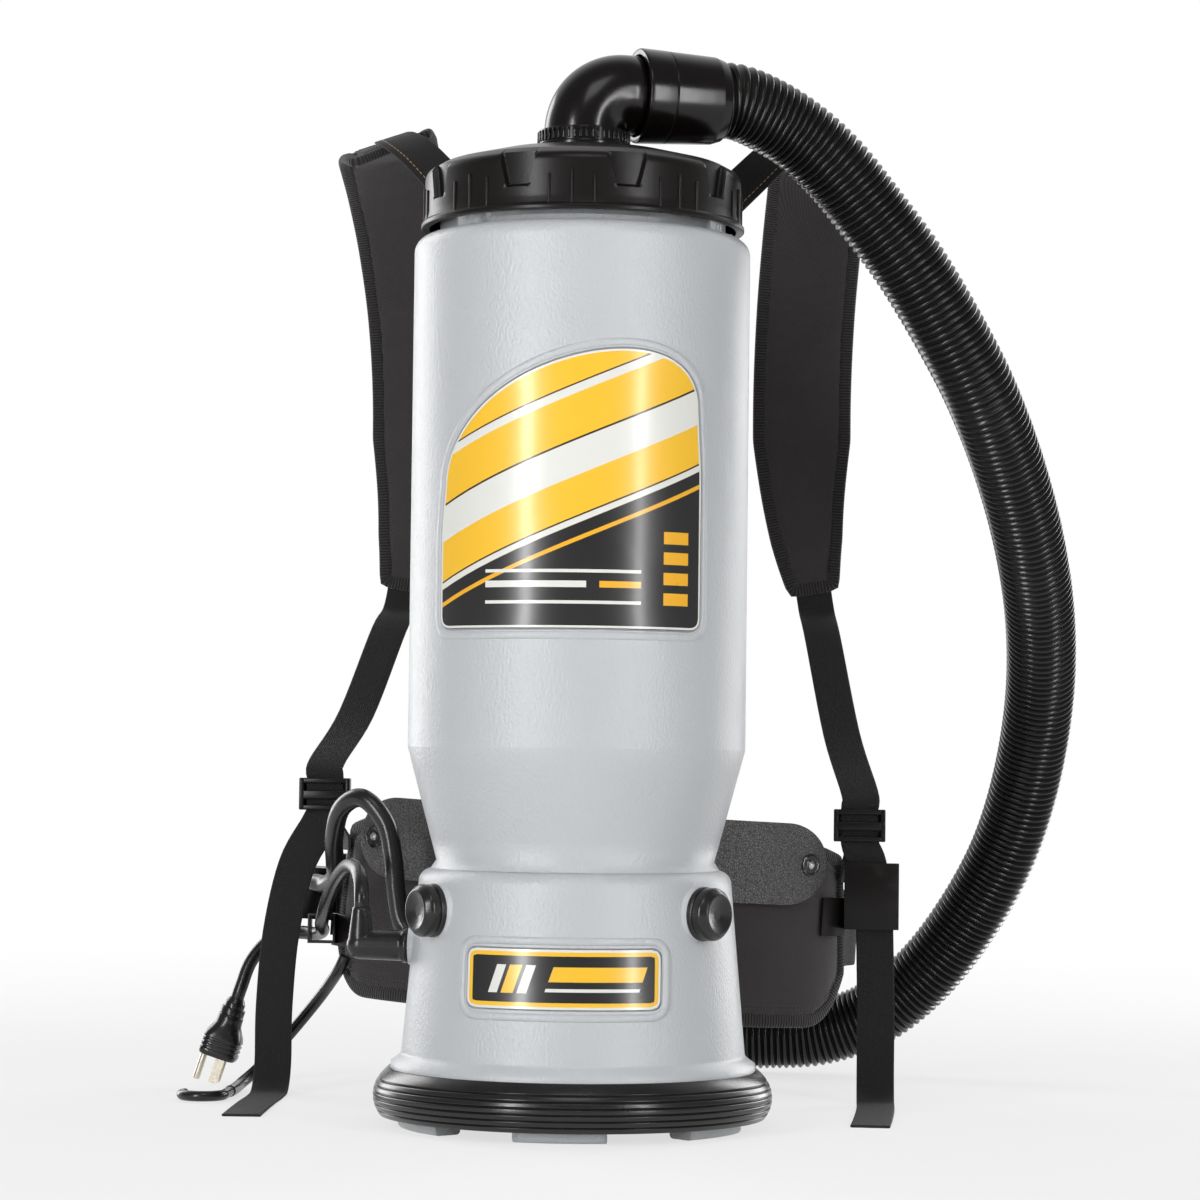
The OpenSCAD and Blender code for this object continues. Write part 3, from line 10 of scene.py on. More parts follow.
import bmesh
import bpy
import numpy as np
from mathutils import Matrix, Vector
from mathutils.bvhtree import BVHTree
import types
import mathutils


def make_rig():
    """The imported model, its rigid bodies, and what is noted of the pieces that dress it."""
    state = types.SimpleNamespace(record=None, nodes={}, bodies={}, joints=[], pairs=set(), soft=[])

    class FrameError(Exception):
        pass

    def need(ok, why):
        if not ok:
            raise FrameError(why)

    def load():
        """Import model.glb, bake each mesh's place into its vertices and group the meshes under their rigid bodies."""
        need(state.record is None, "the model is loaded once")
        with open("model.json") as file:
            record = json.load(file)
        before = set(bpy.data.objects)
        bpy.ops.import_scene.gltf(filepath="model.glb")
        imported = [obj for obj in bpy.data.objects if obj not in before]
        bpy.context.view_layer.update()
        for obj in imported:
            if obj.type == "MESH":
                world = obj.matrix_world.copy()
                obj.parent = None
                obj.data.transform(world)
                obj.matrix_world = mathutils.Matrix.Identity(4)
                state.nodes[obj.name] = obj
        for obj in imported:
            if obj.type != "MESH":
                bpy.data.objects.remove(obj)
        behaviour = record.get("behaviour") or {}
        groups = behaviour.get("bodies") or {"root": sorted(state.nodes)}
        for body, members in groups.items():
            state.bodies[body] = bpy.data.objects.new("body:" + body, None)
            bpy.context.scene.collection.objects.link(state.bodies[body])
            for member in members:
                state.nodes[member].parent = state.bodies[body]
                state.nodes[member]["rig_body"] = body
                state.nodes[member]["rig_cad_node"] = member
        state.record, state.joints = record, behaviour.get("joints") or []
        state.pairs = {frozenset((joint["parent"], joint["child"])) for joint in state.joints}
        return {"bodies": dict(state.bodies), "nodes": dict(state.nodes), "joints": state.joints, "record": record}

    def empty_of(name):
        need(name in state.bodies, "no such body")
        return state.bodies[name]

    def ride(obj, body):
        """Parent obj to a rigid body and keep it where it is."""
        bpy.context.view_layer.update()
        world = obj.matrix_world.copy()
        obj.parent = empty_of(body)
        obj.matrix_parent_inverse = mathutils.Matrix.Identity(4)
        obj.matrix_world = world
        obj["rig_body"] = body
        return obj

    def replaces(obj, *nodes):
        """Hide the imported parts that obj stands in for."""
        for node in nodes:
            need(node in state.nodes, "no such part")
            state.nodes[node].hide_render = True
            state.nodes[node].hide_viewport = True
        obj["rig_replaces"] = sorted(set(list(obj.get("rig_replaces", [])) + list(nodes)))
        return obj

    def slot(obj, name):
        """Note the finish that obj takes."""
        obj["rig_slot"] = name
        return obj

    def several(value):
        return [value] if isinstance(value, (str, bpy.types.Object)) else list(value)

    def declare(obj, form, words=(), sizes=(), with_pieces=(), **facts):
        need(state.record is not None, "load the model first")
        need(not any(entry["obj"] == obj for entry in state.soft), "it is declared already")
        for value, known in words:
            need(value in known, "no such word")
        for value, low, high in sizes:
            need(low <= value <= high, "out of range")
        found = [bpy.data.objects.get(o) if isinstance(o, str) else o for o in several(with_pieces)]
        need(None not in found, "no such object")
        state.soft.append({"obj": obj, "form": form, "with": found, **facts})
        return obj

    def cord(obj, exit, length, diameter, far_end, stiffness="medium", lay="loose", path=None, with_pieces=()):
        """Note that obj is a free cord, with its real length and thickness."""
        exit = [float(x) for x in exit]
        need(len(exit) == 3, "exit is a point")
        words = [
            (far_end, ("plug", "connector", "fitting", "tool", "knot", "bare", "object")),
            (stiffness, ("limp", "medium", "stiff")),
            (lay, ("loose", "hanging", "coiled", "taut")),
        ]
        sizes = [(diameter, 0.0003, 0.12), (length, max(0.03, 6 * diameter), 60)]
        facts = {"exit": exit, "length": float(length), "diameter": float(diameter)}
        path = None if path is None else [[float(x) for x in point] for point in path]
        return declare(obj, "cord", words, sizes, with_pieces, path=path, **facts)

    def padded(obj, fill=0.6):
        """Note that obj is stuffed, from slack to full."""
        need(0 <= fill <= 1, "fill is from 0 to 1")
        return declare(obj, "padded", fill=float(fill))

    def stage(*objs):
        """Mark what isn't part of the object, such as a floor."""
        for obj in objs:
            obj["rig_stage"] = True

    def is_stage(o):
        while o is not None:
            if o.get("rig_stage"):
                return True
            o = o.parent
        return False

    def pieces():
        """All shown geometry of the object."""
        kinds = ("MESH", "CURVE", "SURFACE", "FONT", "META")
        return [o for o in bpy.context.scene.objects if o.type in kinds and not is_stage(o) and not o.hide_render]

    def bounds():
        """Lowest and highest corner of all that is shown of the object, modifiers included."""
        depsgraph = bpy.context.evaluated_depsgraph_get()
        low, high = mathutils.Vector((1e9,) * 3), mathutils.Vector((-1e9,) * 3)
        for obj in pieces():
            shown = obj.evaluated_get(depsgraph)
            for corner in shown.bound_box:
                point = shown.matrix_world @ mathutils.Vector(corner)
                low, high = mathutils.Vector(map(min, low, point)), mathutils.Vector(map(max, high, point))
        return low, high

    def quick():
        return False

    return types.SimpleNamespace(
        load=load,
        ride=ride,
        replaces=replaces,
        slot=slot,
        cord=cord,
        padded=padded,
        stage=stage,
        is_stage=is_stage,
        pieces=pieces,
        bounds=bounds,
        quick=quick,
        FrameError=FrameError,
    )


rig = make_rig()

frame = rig.load()
cad_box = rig.bounds()
BODY_OF = {n: b for b, ns in frame["record"]["behaviour"]["bodies"].items() for n in ns}
MM = 0.001
print("CAD box", cad_box)


def linked(name, data):
    """A new object in the scene."""
    obj = bpy.data.objects.new(name, data)
    bpy.context.scene.collection.objects.link(obj)
    return obj


# %% [markdown]
# ## Camera
# A long lens stands well back, a little above the bumper, so the bumper and the cap show only thin ellipses.
# The camera is turned rather than shifted, and it leans by under a degree.

# %% Camera
image_size = 1200
focal_pixels = 3622
camera_place, camera_turn, camera_rise, camera_lean = (0.1604, -2.2944, 0.231), 3.657, 2.53, 0.67
camera_data = bpy.data.cameras.new("camera")
camera_data.sensor_width = 36
camera_data.lens = focal_pixels / image_size * camera_data.sensor_width
camera = linked("camera", camera_data)
camera.matrix_world = (
    Matrix.Translation(camera_place)
    @ Matrix.Rotation(math.radians(camera_turn), 4, "Z")
    @ Matrix.Rotation(math.radians(90 + camera_rise), 4, "X")
    @ Matrix.Rotation(math.radians(camera_lean), 4, "Z")
)
bpy.context.scene.camera = camera
bpy.context.scene.view_settings.view_transform = "Standard"
print("lens", round(camera_data.lens, 1), "mm")

# %% [markdown]
# ## Writing node trees as sums
# A material and a Geometry Nodes modifier are both trees of small nodes. Joining them by hand takes many
# lines, so a Wire stands for a socket and adds a Math node whenever it meets a plus or a times.


# %% Wires and graphs
def joins(operation, swapped=False):
    def apply(self, *others):
        values = (*others, self) if swapped else (self, *others)
        return self.graph.math(operation, *values)

    return apply


class Wire:
    """A number in a node tree, used in sums like any other number."""

    def __init__(self, graph, socket):
        self.graph, self.socket = graph, socket

    __add__ = __radd__ = joins("ADD")
    __mul__ = __rmul__ = joins("MULTIPLY")
    __sub__, __rsub__ = joins("SUBTRACT"), joins("SUBTRACT", True)
    __truediv__, __rtruediv__ = joins("DIVIDE"), joins("DIVIDE", True)
    __pow__, __abs__ = joins("POWER"), joins("ABSOLUTE")
    __gt__, __lt__ = joins("GREATER_THAN"), joins("LESS_THAN")


class Graph:
    """Adds nodes to a tree and feeds their sockets with values or wires."""

    def __init__(self, tree):
        self.tree = tree

    def feed(self, sockets, key, value):
        named = [s for s in sockets if s.enabled and key in (s.name, s.identifier)]
        socket = sockets[key] if isinstance(key, int) else named[0]
        if isinstance(value, Wire):
            self.tree.links.new(value.socket, socket)
        else:
            socket.default_value = (*value, 1) if socket.type == "RGBA" else value

    def node(self, kind, settings=None, sockets=None, out=0):
        made = self.tree.nodes.new(kind)
        for key, value in (settings or {}).items():
            setattr(made, key, value)
        for key, value in (sockets or {}).items():
            self.feed(made.inputs, key, value)
        if isinstance(out, str):
            out = [s.name if s.enabled else "" for s in made.outputs].index(out)
        return Wire(self, made.outputs[out])

    def math(self, operation, *values):
        return self.node("ShaderNodeMath", {"operation": operation}, dict(enumerate(values)))

    def smooth_step(self, value, low, high):
        sockets = {"Value": value, "From Min": low, "From Max": high}
        return self.node("ShaderNodeMapRange", {"interpolation_type": "SMOOTHSTEP"}, sockets)

    def split(self, wire):
        self.node("ShaderNodeSeparateXYZ", None, {"Vector": wire})
        return [Wire(self, s) for s in self.tree.nodes[-1].outputs]


# %% [markdown]
# ## Finishes
# Every finish starts from the Principled shader. Plain numbers go straight on its sockets. What changes over
# the surface, such as grain, dust or weave, is a sum of textures that feeds colour, roughness and bump.

# %% The Finish class
FINISHES = {}


class Finish(Graph):
    """One material, kept under its name. Its patterns read the piece's own coordinates in metres."""

    def __init__(self, name, **plain):
        self.material = FINISHES[name] = bpy.data.materials.new(name)
        self.material.use_nodes = True
        super().__init__(self.material.node_tree)
        self.surface = self.tree.nodes["Principled BSDF"]
        for key, value in plain.items():
            self.surface.inputs[key.replace("_", " ")].default_value = value
        self.place = self.node("ShaderNodeTexCoord", out="Object")

    def noise(self, scale, detail=3, roughness=0.55, at=None):
        sockets = {"Vector": at or self.place, "Scale": scale, "Detail": detail, "Roughness": roughness}
        return self.node("ShaderNodeTexNoise", None, sockets)

    def uv(self):
        return self.split(self.node("ShaderNodeUVMap", {"uv_map": "UVMap"}))[:2]

    def attribute(self, name):
        return self.node("ShaderNodeAttribute", {"attribute_name": name}, out="Fac")

    def mix(self, a, b, factor):
        sockets = {"Factor": factor, "A": a, "B": b}
        return self.node("ShaderNodeMix", {"data_type": "RGBA"}, sockets, out="Result")

    def vary(self, **wires):
        for key, wire in wires.items():
            self.feed(self.surface.inputs, key.replace("_", " "), wire)

    def shade(self, low, high, factor, roughness):
        self.vary(Base_Color=self.mix(low, high, factor), Roughness=roughness)

    def bump(self, height, distance, strength):
        sockets = {"Height": height, "Distance": distance, "Strength": strength}
        self.vary(Normal=self.node("ShaderNodeBump", None, sockets))


def grey(value, warm=0.0):
    """A colour of that lightness, as a shader reads it."""
    return value * (1 + warm), value, value * (1 - warm)


# %% Moulded grey shell
# The shell is moulded in an etched tool: its grain is a millimetre wide, a little taller, and glints
paint = Finish("moulded_grey", IOR=1.5)
tall = paint.node("ShaderNodeVectorMath", {"operation": "MULTIPLY"}, {0: paint.place, 1: (1, 1, 0.6)})
cloud, pebble, fine = paint.noise(9, 2), paint.noise(620, 2, 0.5, tall), paint.noise(1800, 1)
paint.shade((0.475, 0.492, 0.512), (0.515, 0.532, 0.552), cloud, 0.24 + 0.1 * pebble + 0.05 * cloud)
paint.bump(pebble + 0.25 * fine, 0.0008, 0.55)

# %% Black plastics
# The cap and clips: fine spark-eroded grain, with paler rub marks
paint = Finish("satin_black", IOR=1.5, Specular_IOR_Level=0.22)
rub, grain = paint.noise(24, 5, 0.7), paint.noise(900, 2)
worn_off = paint.smooth_step(rub, 0.56, 0.78)
paint.shade((0.0082, 0.0068, 0.0064), (0.022, 0.019, 0.018), worn_off, 0.27 + 0.2 * worn_off + 0.06 * grain)
paint.bump(grain, 0.0001, 0.5)

# Elbow and cuffs come from a polished tool: smooth, with a breath of dust and fine swirls
paint = Finish("gloss_black", IOR=1.5, Specular_IOR_Level=0.36)
haze, wave = paint.noise(38, 4, 0.65), paint.noise(70, 1)
paint.shade((0.0026, 0.0014, 0.0014), (0.005, 0.0036, 0.0034), haze, 0.17 + 0.12 * haze * haze)
paint.bump(wave, 0.0003, 0.25)

# Soft vinyl: the crests are rubbed smooth, and pale dust settles in the grooves
paint = Finish("hose_vinyl", IOR=1.5, Specular_IOR_Level=0.37)
rib, dust = paint.attribute("rib"), paint.noise(60, 4, 0.6)
low = 1 - paint.smooth_step(rib, 0.1, 0.5)
paint.shade(grey(0.0055, 0.05), grey(0.022, 0.06), low * dust, 0.17 + 0.26 * low + 0.1 * dust)
paint.bump(paint.noise(500, 2), 0.0001, 0.4)

# Bumpers: moulded rubber with a bloom
paint = Finish("soft_rubber", IOR=1.48)
haze, grain = paint.noise(30, 4, 0.7), paint.noise(1400, 2)
paint.shade(grey(0.006, 0.03), grey(0.016, 0.04), haze, 0.13 + 0.22 * haze)
paint.bump(grain, 0.0001, 0.4)

# Glossy vinyl jacket over the wires
paint = Finish("cord_jacket", IOR=1.5)
haze = paint.noise(45, 3)
paint.shade(grey(0.006), grey(0.012), haze, 0.2 + 0.14 * haze)
paint.bump(paint.noise(220, 2), 0.0002, 0.35)

# Backplate: flexible board with a leather grain of small raised cells; the creases between the cells are painted
# darker, as shade
paint = Finish("leather_board", IOR=1.45)
cells = {"Vector": paint.place, "Scale": 620}
cell, cloud = paint.node("ShaderNodeTexVoronoi", {"feature": "DISTANCE_TO_EDGE"}, cells), paint.noise(20, 4)
rise_and_crease_shade = paint.smooth_step(cell, 0.0, 0.28)
# painted shade: the creases between the cells take the darker colour and the raised tops the paler one
paint.shade(grey(0.045), grey(0.17, 0.02), rise_and_crease_shade * (0.5 + 0.7 * cloud), 0.56 - 0.14 * rise_and_crease_shade)
paint.bump(rise_and_crease_shade + 0.4 * paint.noise(1500, 1), 0.0004, 0.7)

# %% Cloth
# Fine packcloth: threads over and under, three quarters of a millimetre apart
paint = Finish("pad_cloth", IOR=1.4, Sheen_Weight=0.25, Sheen_Roughness=0.5)
x, y, z = paint.split(paint.place)
pitch = math.pi / 0.00075
weave = paint.math("SINE", (x + y * 0.8) * pitch) * paint.math("SINE", z * pitch)
cloud, fuzz = paint.noise(26, 4), paint.noise(2600, 2)
tone = paint.smooth_step(weave + 0.8 * fuzz + 0.6 * cloud, -0.6, 1.9)
paint.shade((0.015, 0.0125, 0.0133), (0.058, 0.05, 0.052), tone, 0.86 - 0.12 * tone)
paint.bump(weave + 0.5 * fuzz, 0.00025, 0.6)

# Flat strap: two warp rows lean against each other like a row of arrows
paint = Finish("webbing_cloth", IOR=1.4, Sheen_Weight=0.12, Sheen_Roughness=0.45)
u, v = paint.uv()
rows = abs(paint.math("PINGPONG", u, 0.0016) - 0.0008)
twine = paint.math("SINE", (v + 1.4 * rows) * (2 * math.pi / 0.0013))
valley, fuzz = paint.smooth_step(rows, 0.0, 0.0004), paint.noise(1800, 2)
tone = paint.smooth_step(twine * valley + 0.9 * fuzz, -0.7, 1.5)
paint.shade((0.0045, 0.0038, 0.0038), (0.021, 0.0182, 0.0182), tone, 0.8 - 0.16 * tone)
paint.bump(twine * 0.6 + valley + 0.4 * fuzz, 0.0003, 0.7)

# Grosgrain tape round the pads' edges: fine ribs across its length
paint = Finish("binding_tape", IOR=1.4, Sheen_Weight=0.2, Sheen_Roughness=0.5)
rib, fuzz = paint.math("SINE", paint.uv()[1] * (2 * math.pi / 0.0021)), paint.noise(1500, 3)
tone = paint.smooth_step(rib + fuzz, -0.8, 1.6)
paint.shade((0.0062, 0.0055, 0.0055), (0.036, 0.032, 0.032), tone, 0.85 - 0.1 * tone)
paint.bump(rib + 0.5 * fuzz, 0.0004, 0.8)

# %% Metals
paint = Finish("zinc_steel", Metallic=1.0)
brushed, stain = paint.noise(400, 4), paint.noise(60, 3)
paint.shade(grey(0.4, 0.02), grey(0.62), brushed, 0.28 + 0.2 * stain)
paint.bump(brushed, 0.0001, 0.3)

# Washers under the rivets: blackened steel with bright wear
paint = Finish("black_zinc", Metallic=0.85)
wear = paint.smooth_step(paint.noise(300, 2), 0.5, 0.85)
paint.shade(grey(0.045), grey(0.2), wear, 0.24 + 0.2 * wear)
paint.bump(wear, 0.0001, 0.3)

paint = Finish("nickel_pins", Metallic=1.0)
mark = paint.noise(260, 4)
paint.shade((0.52, 0.46, 0.36), (0.72, 0.68, 0.6), mark, 0.2 + 0.25 * mark)

# %% Threads, and plain finishes for what the shell hides
for name, colour in (("black_thread", (0.03, 0.03, 0.03)), ("tan_thread", (0.42, 0.3, 0.13))):
    paint = Finish(name, Roughness=0.6, Sheen_Weight=0.3)
    paint.vary(Base_Color=paint.mix([c * 0.55 for c in colour], colour, paint.noise(3000, 2)))
for name, low, high, scale, rough, metallic, depth in (
    ("filter_paper", (0.62, 0.57, 0.47), (0.74, 0.7, 0.6), 300, 0.8, 0, 0.0002),
    ("card_board", (0.4, 0.28, 0.16), (0.52, 0.38, 0.24), 260, 0.85, 0, 0.0002),
    ("open_foam", grey(0.012), grey(0.05), 900, 0.9, 0, 0.0008),
    ("copper_wire", (0.55, 0.22, 0.08), (0.75, 0.36, 0.16), 500, 0.35, 1, 0.0002),
    ("cast_alloy", grey(0.5), grey(0.66), 200, 0.3, 1, 0.0002),
    ("red_rocker", (0.3, 0.012, 0.01), (0.42, 0.02, 0.016), 120, 0.25, 0, 0.0002),
):
    paint = Finish(name, Metallic=metallic)
    grain = paint.noise(scale, 4)
    paint.shade(low, high, grain, rough + 0.15 * grain)
    paint.bump(grain, depth, 0.5)
print(len(FINISHES), "finishes")

# %% [markdown]
# ## The labels' own print
# The tank carries a large printed label. Its print is a plain design of slanted bands: a yellow field with
# white bands above a black foot. The bands are sums on the label's own flat coordinates, so they follow
# the sheet round the tank. The small plate has three slanted bars and two long ones.

# %% Printed sheets
YELLOW, GOLD, WHITE, INK = (0.9, 0.52, 0.03), (0.86, 0.43, 0.02), (0.74, 0.74, 0.7), grey(0.012)


def banded(paint, ground, across, bands, edge=0.0002):
    """Paints bands (low, high, colour) over the ground, where across is the distance across them."""
    for low, high, colour in bands:
        past_low, past_high = (paint.smooth_step(across, at - edge, at + edge) for at in (low, high))
        ground = paint.mix(ground, colour, past_low * (1 - past_high))
    return ground


def printed(name):
    """A coated sheet's finish, its flat coordinates and the share of its border."""
    paint = Finish(name, IOR=1.5, Coat_Weight=0.3, Coat_Roughness=0.18)
    return paint, *paint.uv(), paint.attribute("rim")


paint, u, v, rim = printed("printed_label")
slant = math.radians(23)
tone = banded(paint, INK, v * math.cos(slant) - u * math.sin(slant), [
    (0.056, 0.3, YELLOW), (0.056, 0.0595, WHITE), (0.0595, 0.0605, INK), (0.083, 0.103, WHITE),
    (0.103, 0.1042, INK), (0.1295, 0.1345, WHITE), (0.1345, 0.1354, INK), (0.046, 0.0485, GOLD)])
for low, high, left, right, colour in (
    (0.0145, 0.0165, -0.052, 0.046, WHITE), (0.0245, 0.0285, -0.052, 0.012, WHITE),
    (0.0245, 0.0285, 0.02, 0.046, GOLD), (0.0335, 0.0355, -0.052, 0.046, WHITE),
    *((low, low + 0.0075, 0.061, 0.079, GOLD) for low in (0.0145, 0.027, 0.0395, 0.052)),
):
    tone = paint.mix(tone, colour, (u > left) * (u < right) * (v > low) * (v < high))
tone = paint.mix(tone, WHITE, paint.smooth_step(rim, 0.45, 0.55))
paint.vary(Base_Color=tone, Roughness=0.24 + 0.12 * paint.noise(30, 2))
paint.bump(paint.noise(240, 2), 0.0001, 0.15)

paint, u, v, rim = printed("printed_plate")
slant = u - 0.35 * v
inner = (v > 0.0095) * (v < 0.0265)
slanted = [(-0.05, -0.044, WHITE), (-0.0415, -0.0335, YELLOW), (-0.031, -0.025, WHITE)]
bars = banded(paint, INK, slant, slanted)
rows = banded(paint, INK, v, [(0.0105, 0.0125, WHITE), (0.0165, 0.0255, YELLOW)])
tone = paint.mix(paint.mix(INK, bars, inner), rows, (slant > -0.014) * (slant < 0.044) * inner)
tone = paint.mix(tone, YELLOW, paint.smooth_step(rim, 0.2, 0.25))
tone = paint.mix(tone, WHITE, paint.smooth_step(rim, 0.7, 0.75))
paint.vary(Base_Color=tone, Roughness=0.24 + 0.1 * paint.noise(30, 2))

# %% [markdown]
# ## Building pieces
# A few helpers make most meshes here: a path smoothed through given points, a skin lofted over rings,
# a profile turned on a lathe, and a softened copy of a CAD solid for plain moulded parts.

# %% Numbers shared with the solids, in metres
tank_r, plate_y = 107 * MM, 112 * MM
z_tray, z_flange, z_skirt, z_skirt_top = 6.6 * MM, 36.6 * MM, 46.6 * MM, 153 * MM
z_taper, z_shoulder, z_cap_wall, z_outlet = 238 * MM, 562 * MM, 601.5 * MM, 657.6 * MM
hip_a, hip_b, hip_y = 189 * MM, 129 * MM, 245.3 * MM
wing_z, belt_z, belt_roll = 169.5 * MM, 125 * MM, math.radians(3)
outlet_angle = math.radians(21.5)
SIDES = ((-1, "left"), (1, "right"))


# %% Paths
def mm(*points):
    """Places written in millimetres."""
    return np.array(points) * MM


def smooth(points, steps):
    """Curve through points, that many steps between each two."""
    p = np.array(points, float)
    last, made = len(p) - 1, []
    for i in range(last):
        a, b, c, d = p[max(i - 1, 0)], p[i], p[i + 1], p[min(i + 2, last)]
        one, two, three = c - a, 2 * a - 5 * b + 4 * c - d, 3 * b - a - 3 * c + d
        made += [0.5 * (2 * b + one * t + two * t**2 + three * t**3) for t in np.arange(steps) / steps]
    return np.array([*made, p[last]])


def runs(path):
    """How far along the path each point is."""
    return np.concatenate([[0], np.cumsum(np.linalg.norm(np.diff(path, axis=0), axis=1))])


def even(path, count):
    """Points at equal steps along a path."""
    s = runs(path)
    at = np.linspace(0, s[-1], count + 1)
    return np.column_stack([np.interp(at, s, path[:, k]) for k in range(path.shape[1])])


def unit(v):
    v = np.asarray(v, float)
    return v / np.linalg.norm(v, axis=-1, keepdims=True)


def headings(path):
    """The direction of the path at each point."""
    return unit(np.gradient(path, axis=0))


def circle(count):
    """That many angles, evenly round."""
    return np.linspace(0, 2 * math.pi, count, endpoint=False)


def hip(angle, off):
    """Place on the hip belt's oval, off outside its outer face."""
    a = math.radians(angle)
    return (hip_a + off) * math.sin(a), hip_y - (hip_b + off) * math.cos(a)


def worn(x, y, z):
    """The belt hangs a little off level."""
    c, s = math.cos(belt_roll), math.sin(belt_roll)
    return np.array([x * c + (z - wing_z) * s, y, wing_z - x * s + (z - wing_z) * c])


# %% Objects and their meshes
def plain_mesh(obj):
    """An object's shape after its modifiers."""
    return bpy.data.meshes.new_from_object(obj.evaluated_get(bpy.context.evaluated_depsgraph_get()))


def bake(obj):
    """Turns an object's modifiers into plain mesh."""
    mesh = plain_mesh(obj)
    obj.modifiers.clear()
    obj.data = mesh


def softened(obj, radius, steps=3):
    """Rounds an object's edges; the next bake turns them into mesh."""
    edge = obj.modifiers.new("soften", "BEVEL")
    edge.width, edge.segments = radius, steps
    return obj


def merged(obj, outward=False, flat=False):
    """Joins points that coincide, then turns the faces outward or joins level ones where asked."""
    work = bmesh.new()
    work.from_mesh(obj.data)
    bmesh.ops.remove_doubles(work, verts=work.verts, dist=2e-6)
    if outward:
        bmesh.ops.recalc_face_normals(work, faces=work.faces)
    if flat:
        bmesh.ops.dissolve_limit(work, angle_limit=math.radians(0.5), verts=work.verts, edges=work.edges)
    work.to_mesh(obj.data)
    work.free()


def finish_piece(obj, finish, node=None, slot=None, sharp=38, solid=True):
    """Closes, smooths and paints a mesh object, and lets it ride on its body in its solid's place."""
    merged(obj, outward=solid)
    mesh = obj.data
    mesh.polygons.foreach_set("use_smooth", [True] * len(mesh.polygons))
    mesh.set_sharp_from_angle(angle=math.radians(sharp))
    mesh.materials.clear()
    mesh.materials.append(FINISHES[finish])
    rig.ride(obj, BODY_OF[node] if node else "root")
    if node:
        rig.replaces(obj, node)
        slot = next(s["material_slot"] for s in frame["record"]["subparts"] if s["node"] == node)
    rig.slot(obj, slot)
    return obj


def dressed(node, finish, bevel=0.0, steps=2, name=None, sharp=38):
    """A softened copy of a CAD solid: joined faces, rounded edges and smooth shading."""
    obj = linked(name or node + "_shell", frame["nodes"][node].data.copy())
    merged(obj, flat=bevel > 0)
    if bevel:
        edge = obj.modifiers.new("edges", "BEVEL")
        edge.width, edge.segments, edge.angle_limit = bevel, steps, math.radians(32)
        bake(obj)
    return finish_piece(obj, finish, node, sharp=sharp, solid=False)


def true_round(obj, radius_at, low, high, lean=0.0):
    """Gives a turned wall its exact normals, because long triangles round a recess would shade unevenly."""
    mesh = obj.data
    corner = np.array([mesh.vertices[loop.vertex_index].co for loop in mesh.loops])
    face = np.repeat([p.normal for p in mesh.polygons], [p.loop_total for p in mesh.polygons], axis=0)
    normals = np.array([n.vector for n in mesh.corner_normals])
    away, z = corner * (1, 1, 0), corner[:, 2]
    exact = unit(unit(away + (0, 0, 1e-12)) + (0, 0, lean))
    off = abs(np.linalg.norm(away, axis=1) - np.array([radius_at(height) for height in z]))
    on = (off < 0.1 * MM) & (z > low) & (z < high) & ((face * exact).sum(axis=1) > 0.97)
    normals[on] = exact[on]
    mesh.normals_split_custom_set(normals)
    print(obj.name, int(on.sum()), "exact corners")


# %% Skins
def add_mesh(name, points, faces, uvs=None):
    mesh = bpy.data.meshes.new(name)
    mesh.from_pydata([tuple(p) for p in points], [], [tuple(f) for f in faces])
    if uvs is not None:
        mesh.uv_layers.new(name="UVMap").data.foreach_set("uv", np.asarray(uvs, float).ravel())
    return linked(name, mesh)


def block(name, low, high):
    """A plain box between two corners."""
    xs, ys, zs = zip(low, high)
    faces = [(0, 1, 3, 2), (4, 6, 7, 5), (0, 4, 5, 1), (2, 3, 7, 6), (0, 2, 6, 4), (1, 5, 7, 3)]
    return add_mesh(name, [(x, y, z) for x in xs for y in ys for z in zs], faces)


def loft(name, rings, us=None, vs=None, caps=True, loop=False):
    """A skin over rings of points. us has one value more than a ring has points, and vs one for each ring."""
    rings = np.asarray(rings, float)
    m, n = rings.shape[:2]
    faces, uvs = [], []
    us = np.arange(n + 1) if us is None else us
    vs = np.arange(m + 1) if vs is None else vs
    for i in range(m if loop else m - 1):
        a, b = i * n, (i + 1) % m * n
        v = vs[i + 1] if i + 1 < len(vs) else vs[i]
        for j in range(n):
            k = (j + 1) % n
            faces.append((a + j, b + j, b + k, a + k))
            uvs += [(us[j], vs[i]), (us[j], v), (us[j + 1], v), (us[j + 1], vs[i])]
    if caps and not loop:
        for row, order in ((0, range(n)), (m - 1, range(n - 1, -1, -1))):
            faces.append([row * n + j for j in order])
            uvs += [(us[j], vs[row]) for j in order]
    return add_mesh(name, rings.reshape(-1, 3), faces, uvs)


def fillet(profile, radii, steps=4):
    """Rounds the corners of an open profile; radii gives each corner's radius, 0 for a sharp one."""
    p = [np.array(q, float) for q in profile]
    made = [p[0]]
    for i in range(1, len(p) - 1):
        r = radii[i] if isinstance(radii, (list, tuple)) else radii
        legs = [p[k] - p[i] for k in (i - 1, i + 1)]
        a, b = unit(legs[0]), unit(legs[1])
        half = math.acos(max(-1, min(1, float(a @ b)))) / 2
        if r <= 0 or half > math.radians(88):
            made.append(p[i])
            continue
        run = min(r / math.tan(half), *(0.49 * np.linalg.norm(leg) for leg in legs))
        for t in np.arange(steps + 1) / steps:
            made.append((1 - t) ** 2 * (p[i] + a * run) + 2 * t * (1 - t) * p[i] + t * t * (p[i] + b * run))
    return np.array([*made, p[-1]])


def turned(name, profile, segments=128, matrix=None, loop=False):
    """Turns an (r, z) profile round the Z axis, then places it."""
    rings = [[(r * math.cos(a), r * math.sin(a), z) for a in circle(segments)] for r, z in profile]
    obj = loft(name, rings, caps=False, loop=loop)
    if matrix is not None:
        obj.data.transform(matrix)
    return obj


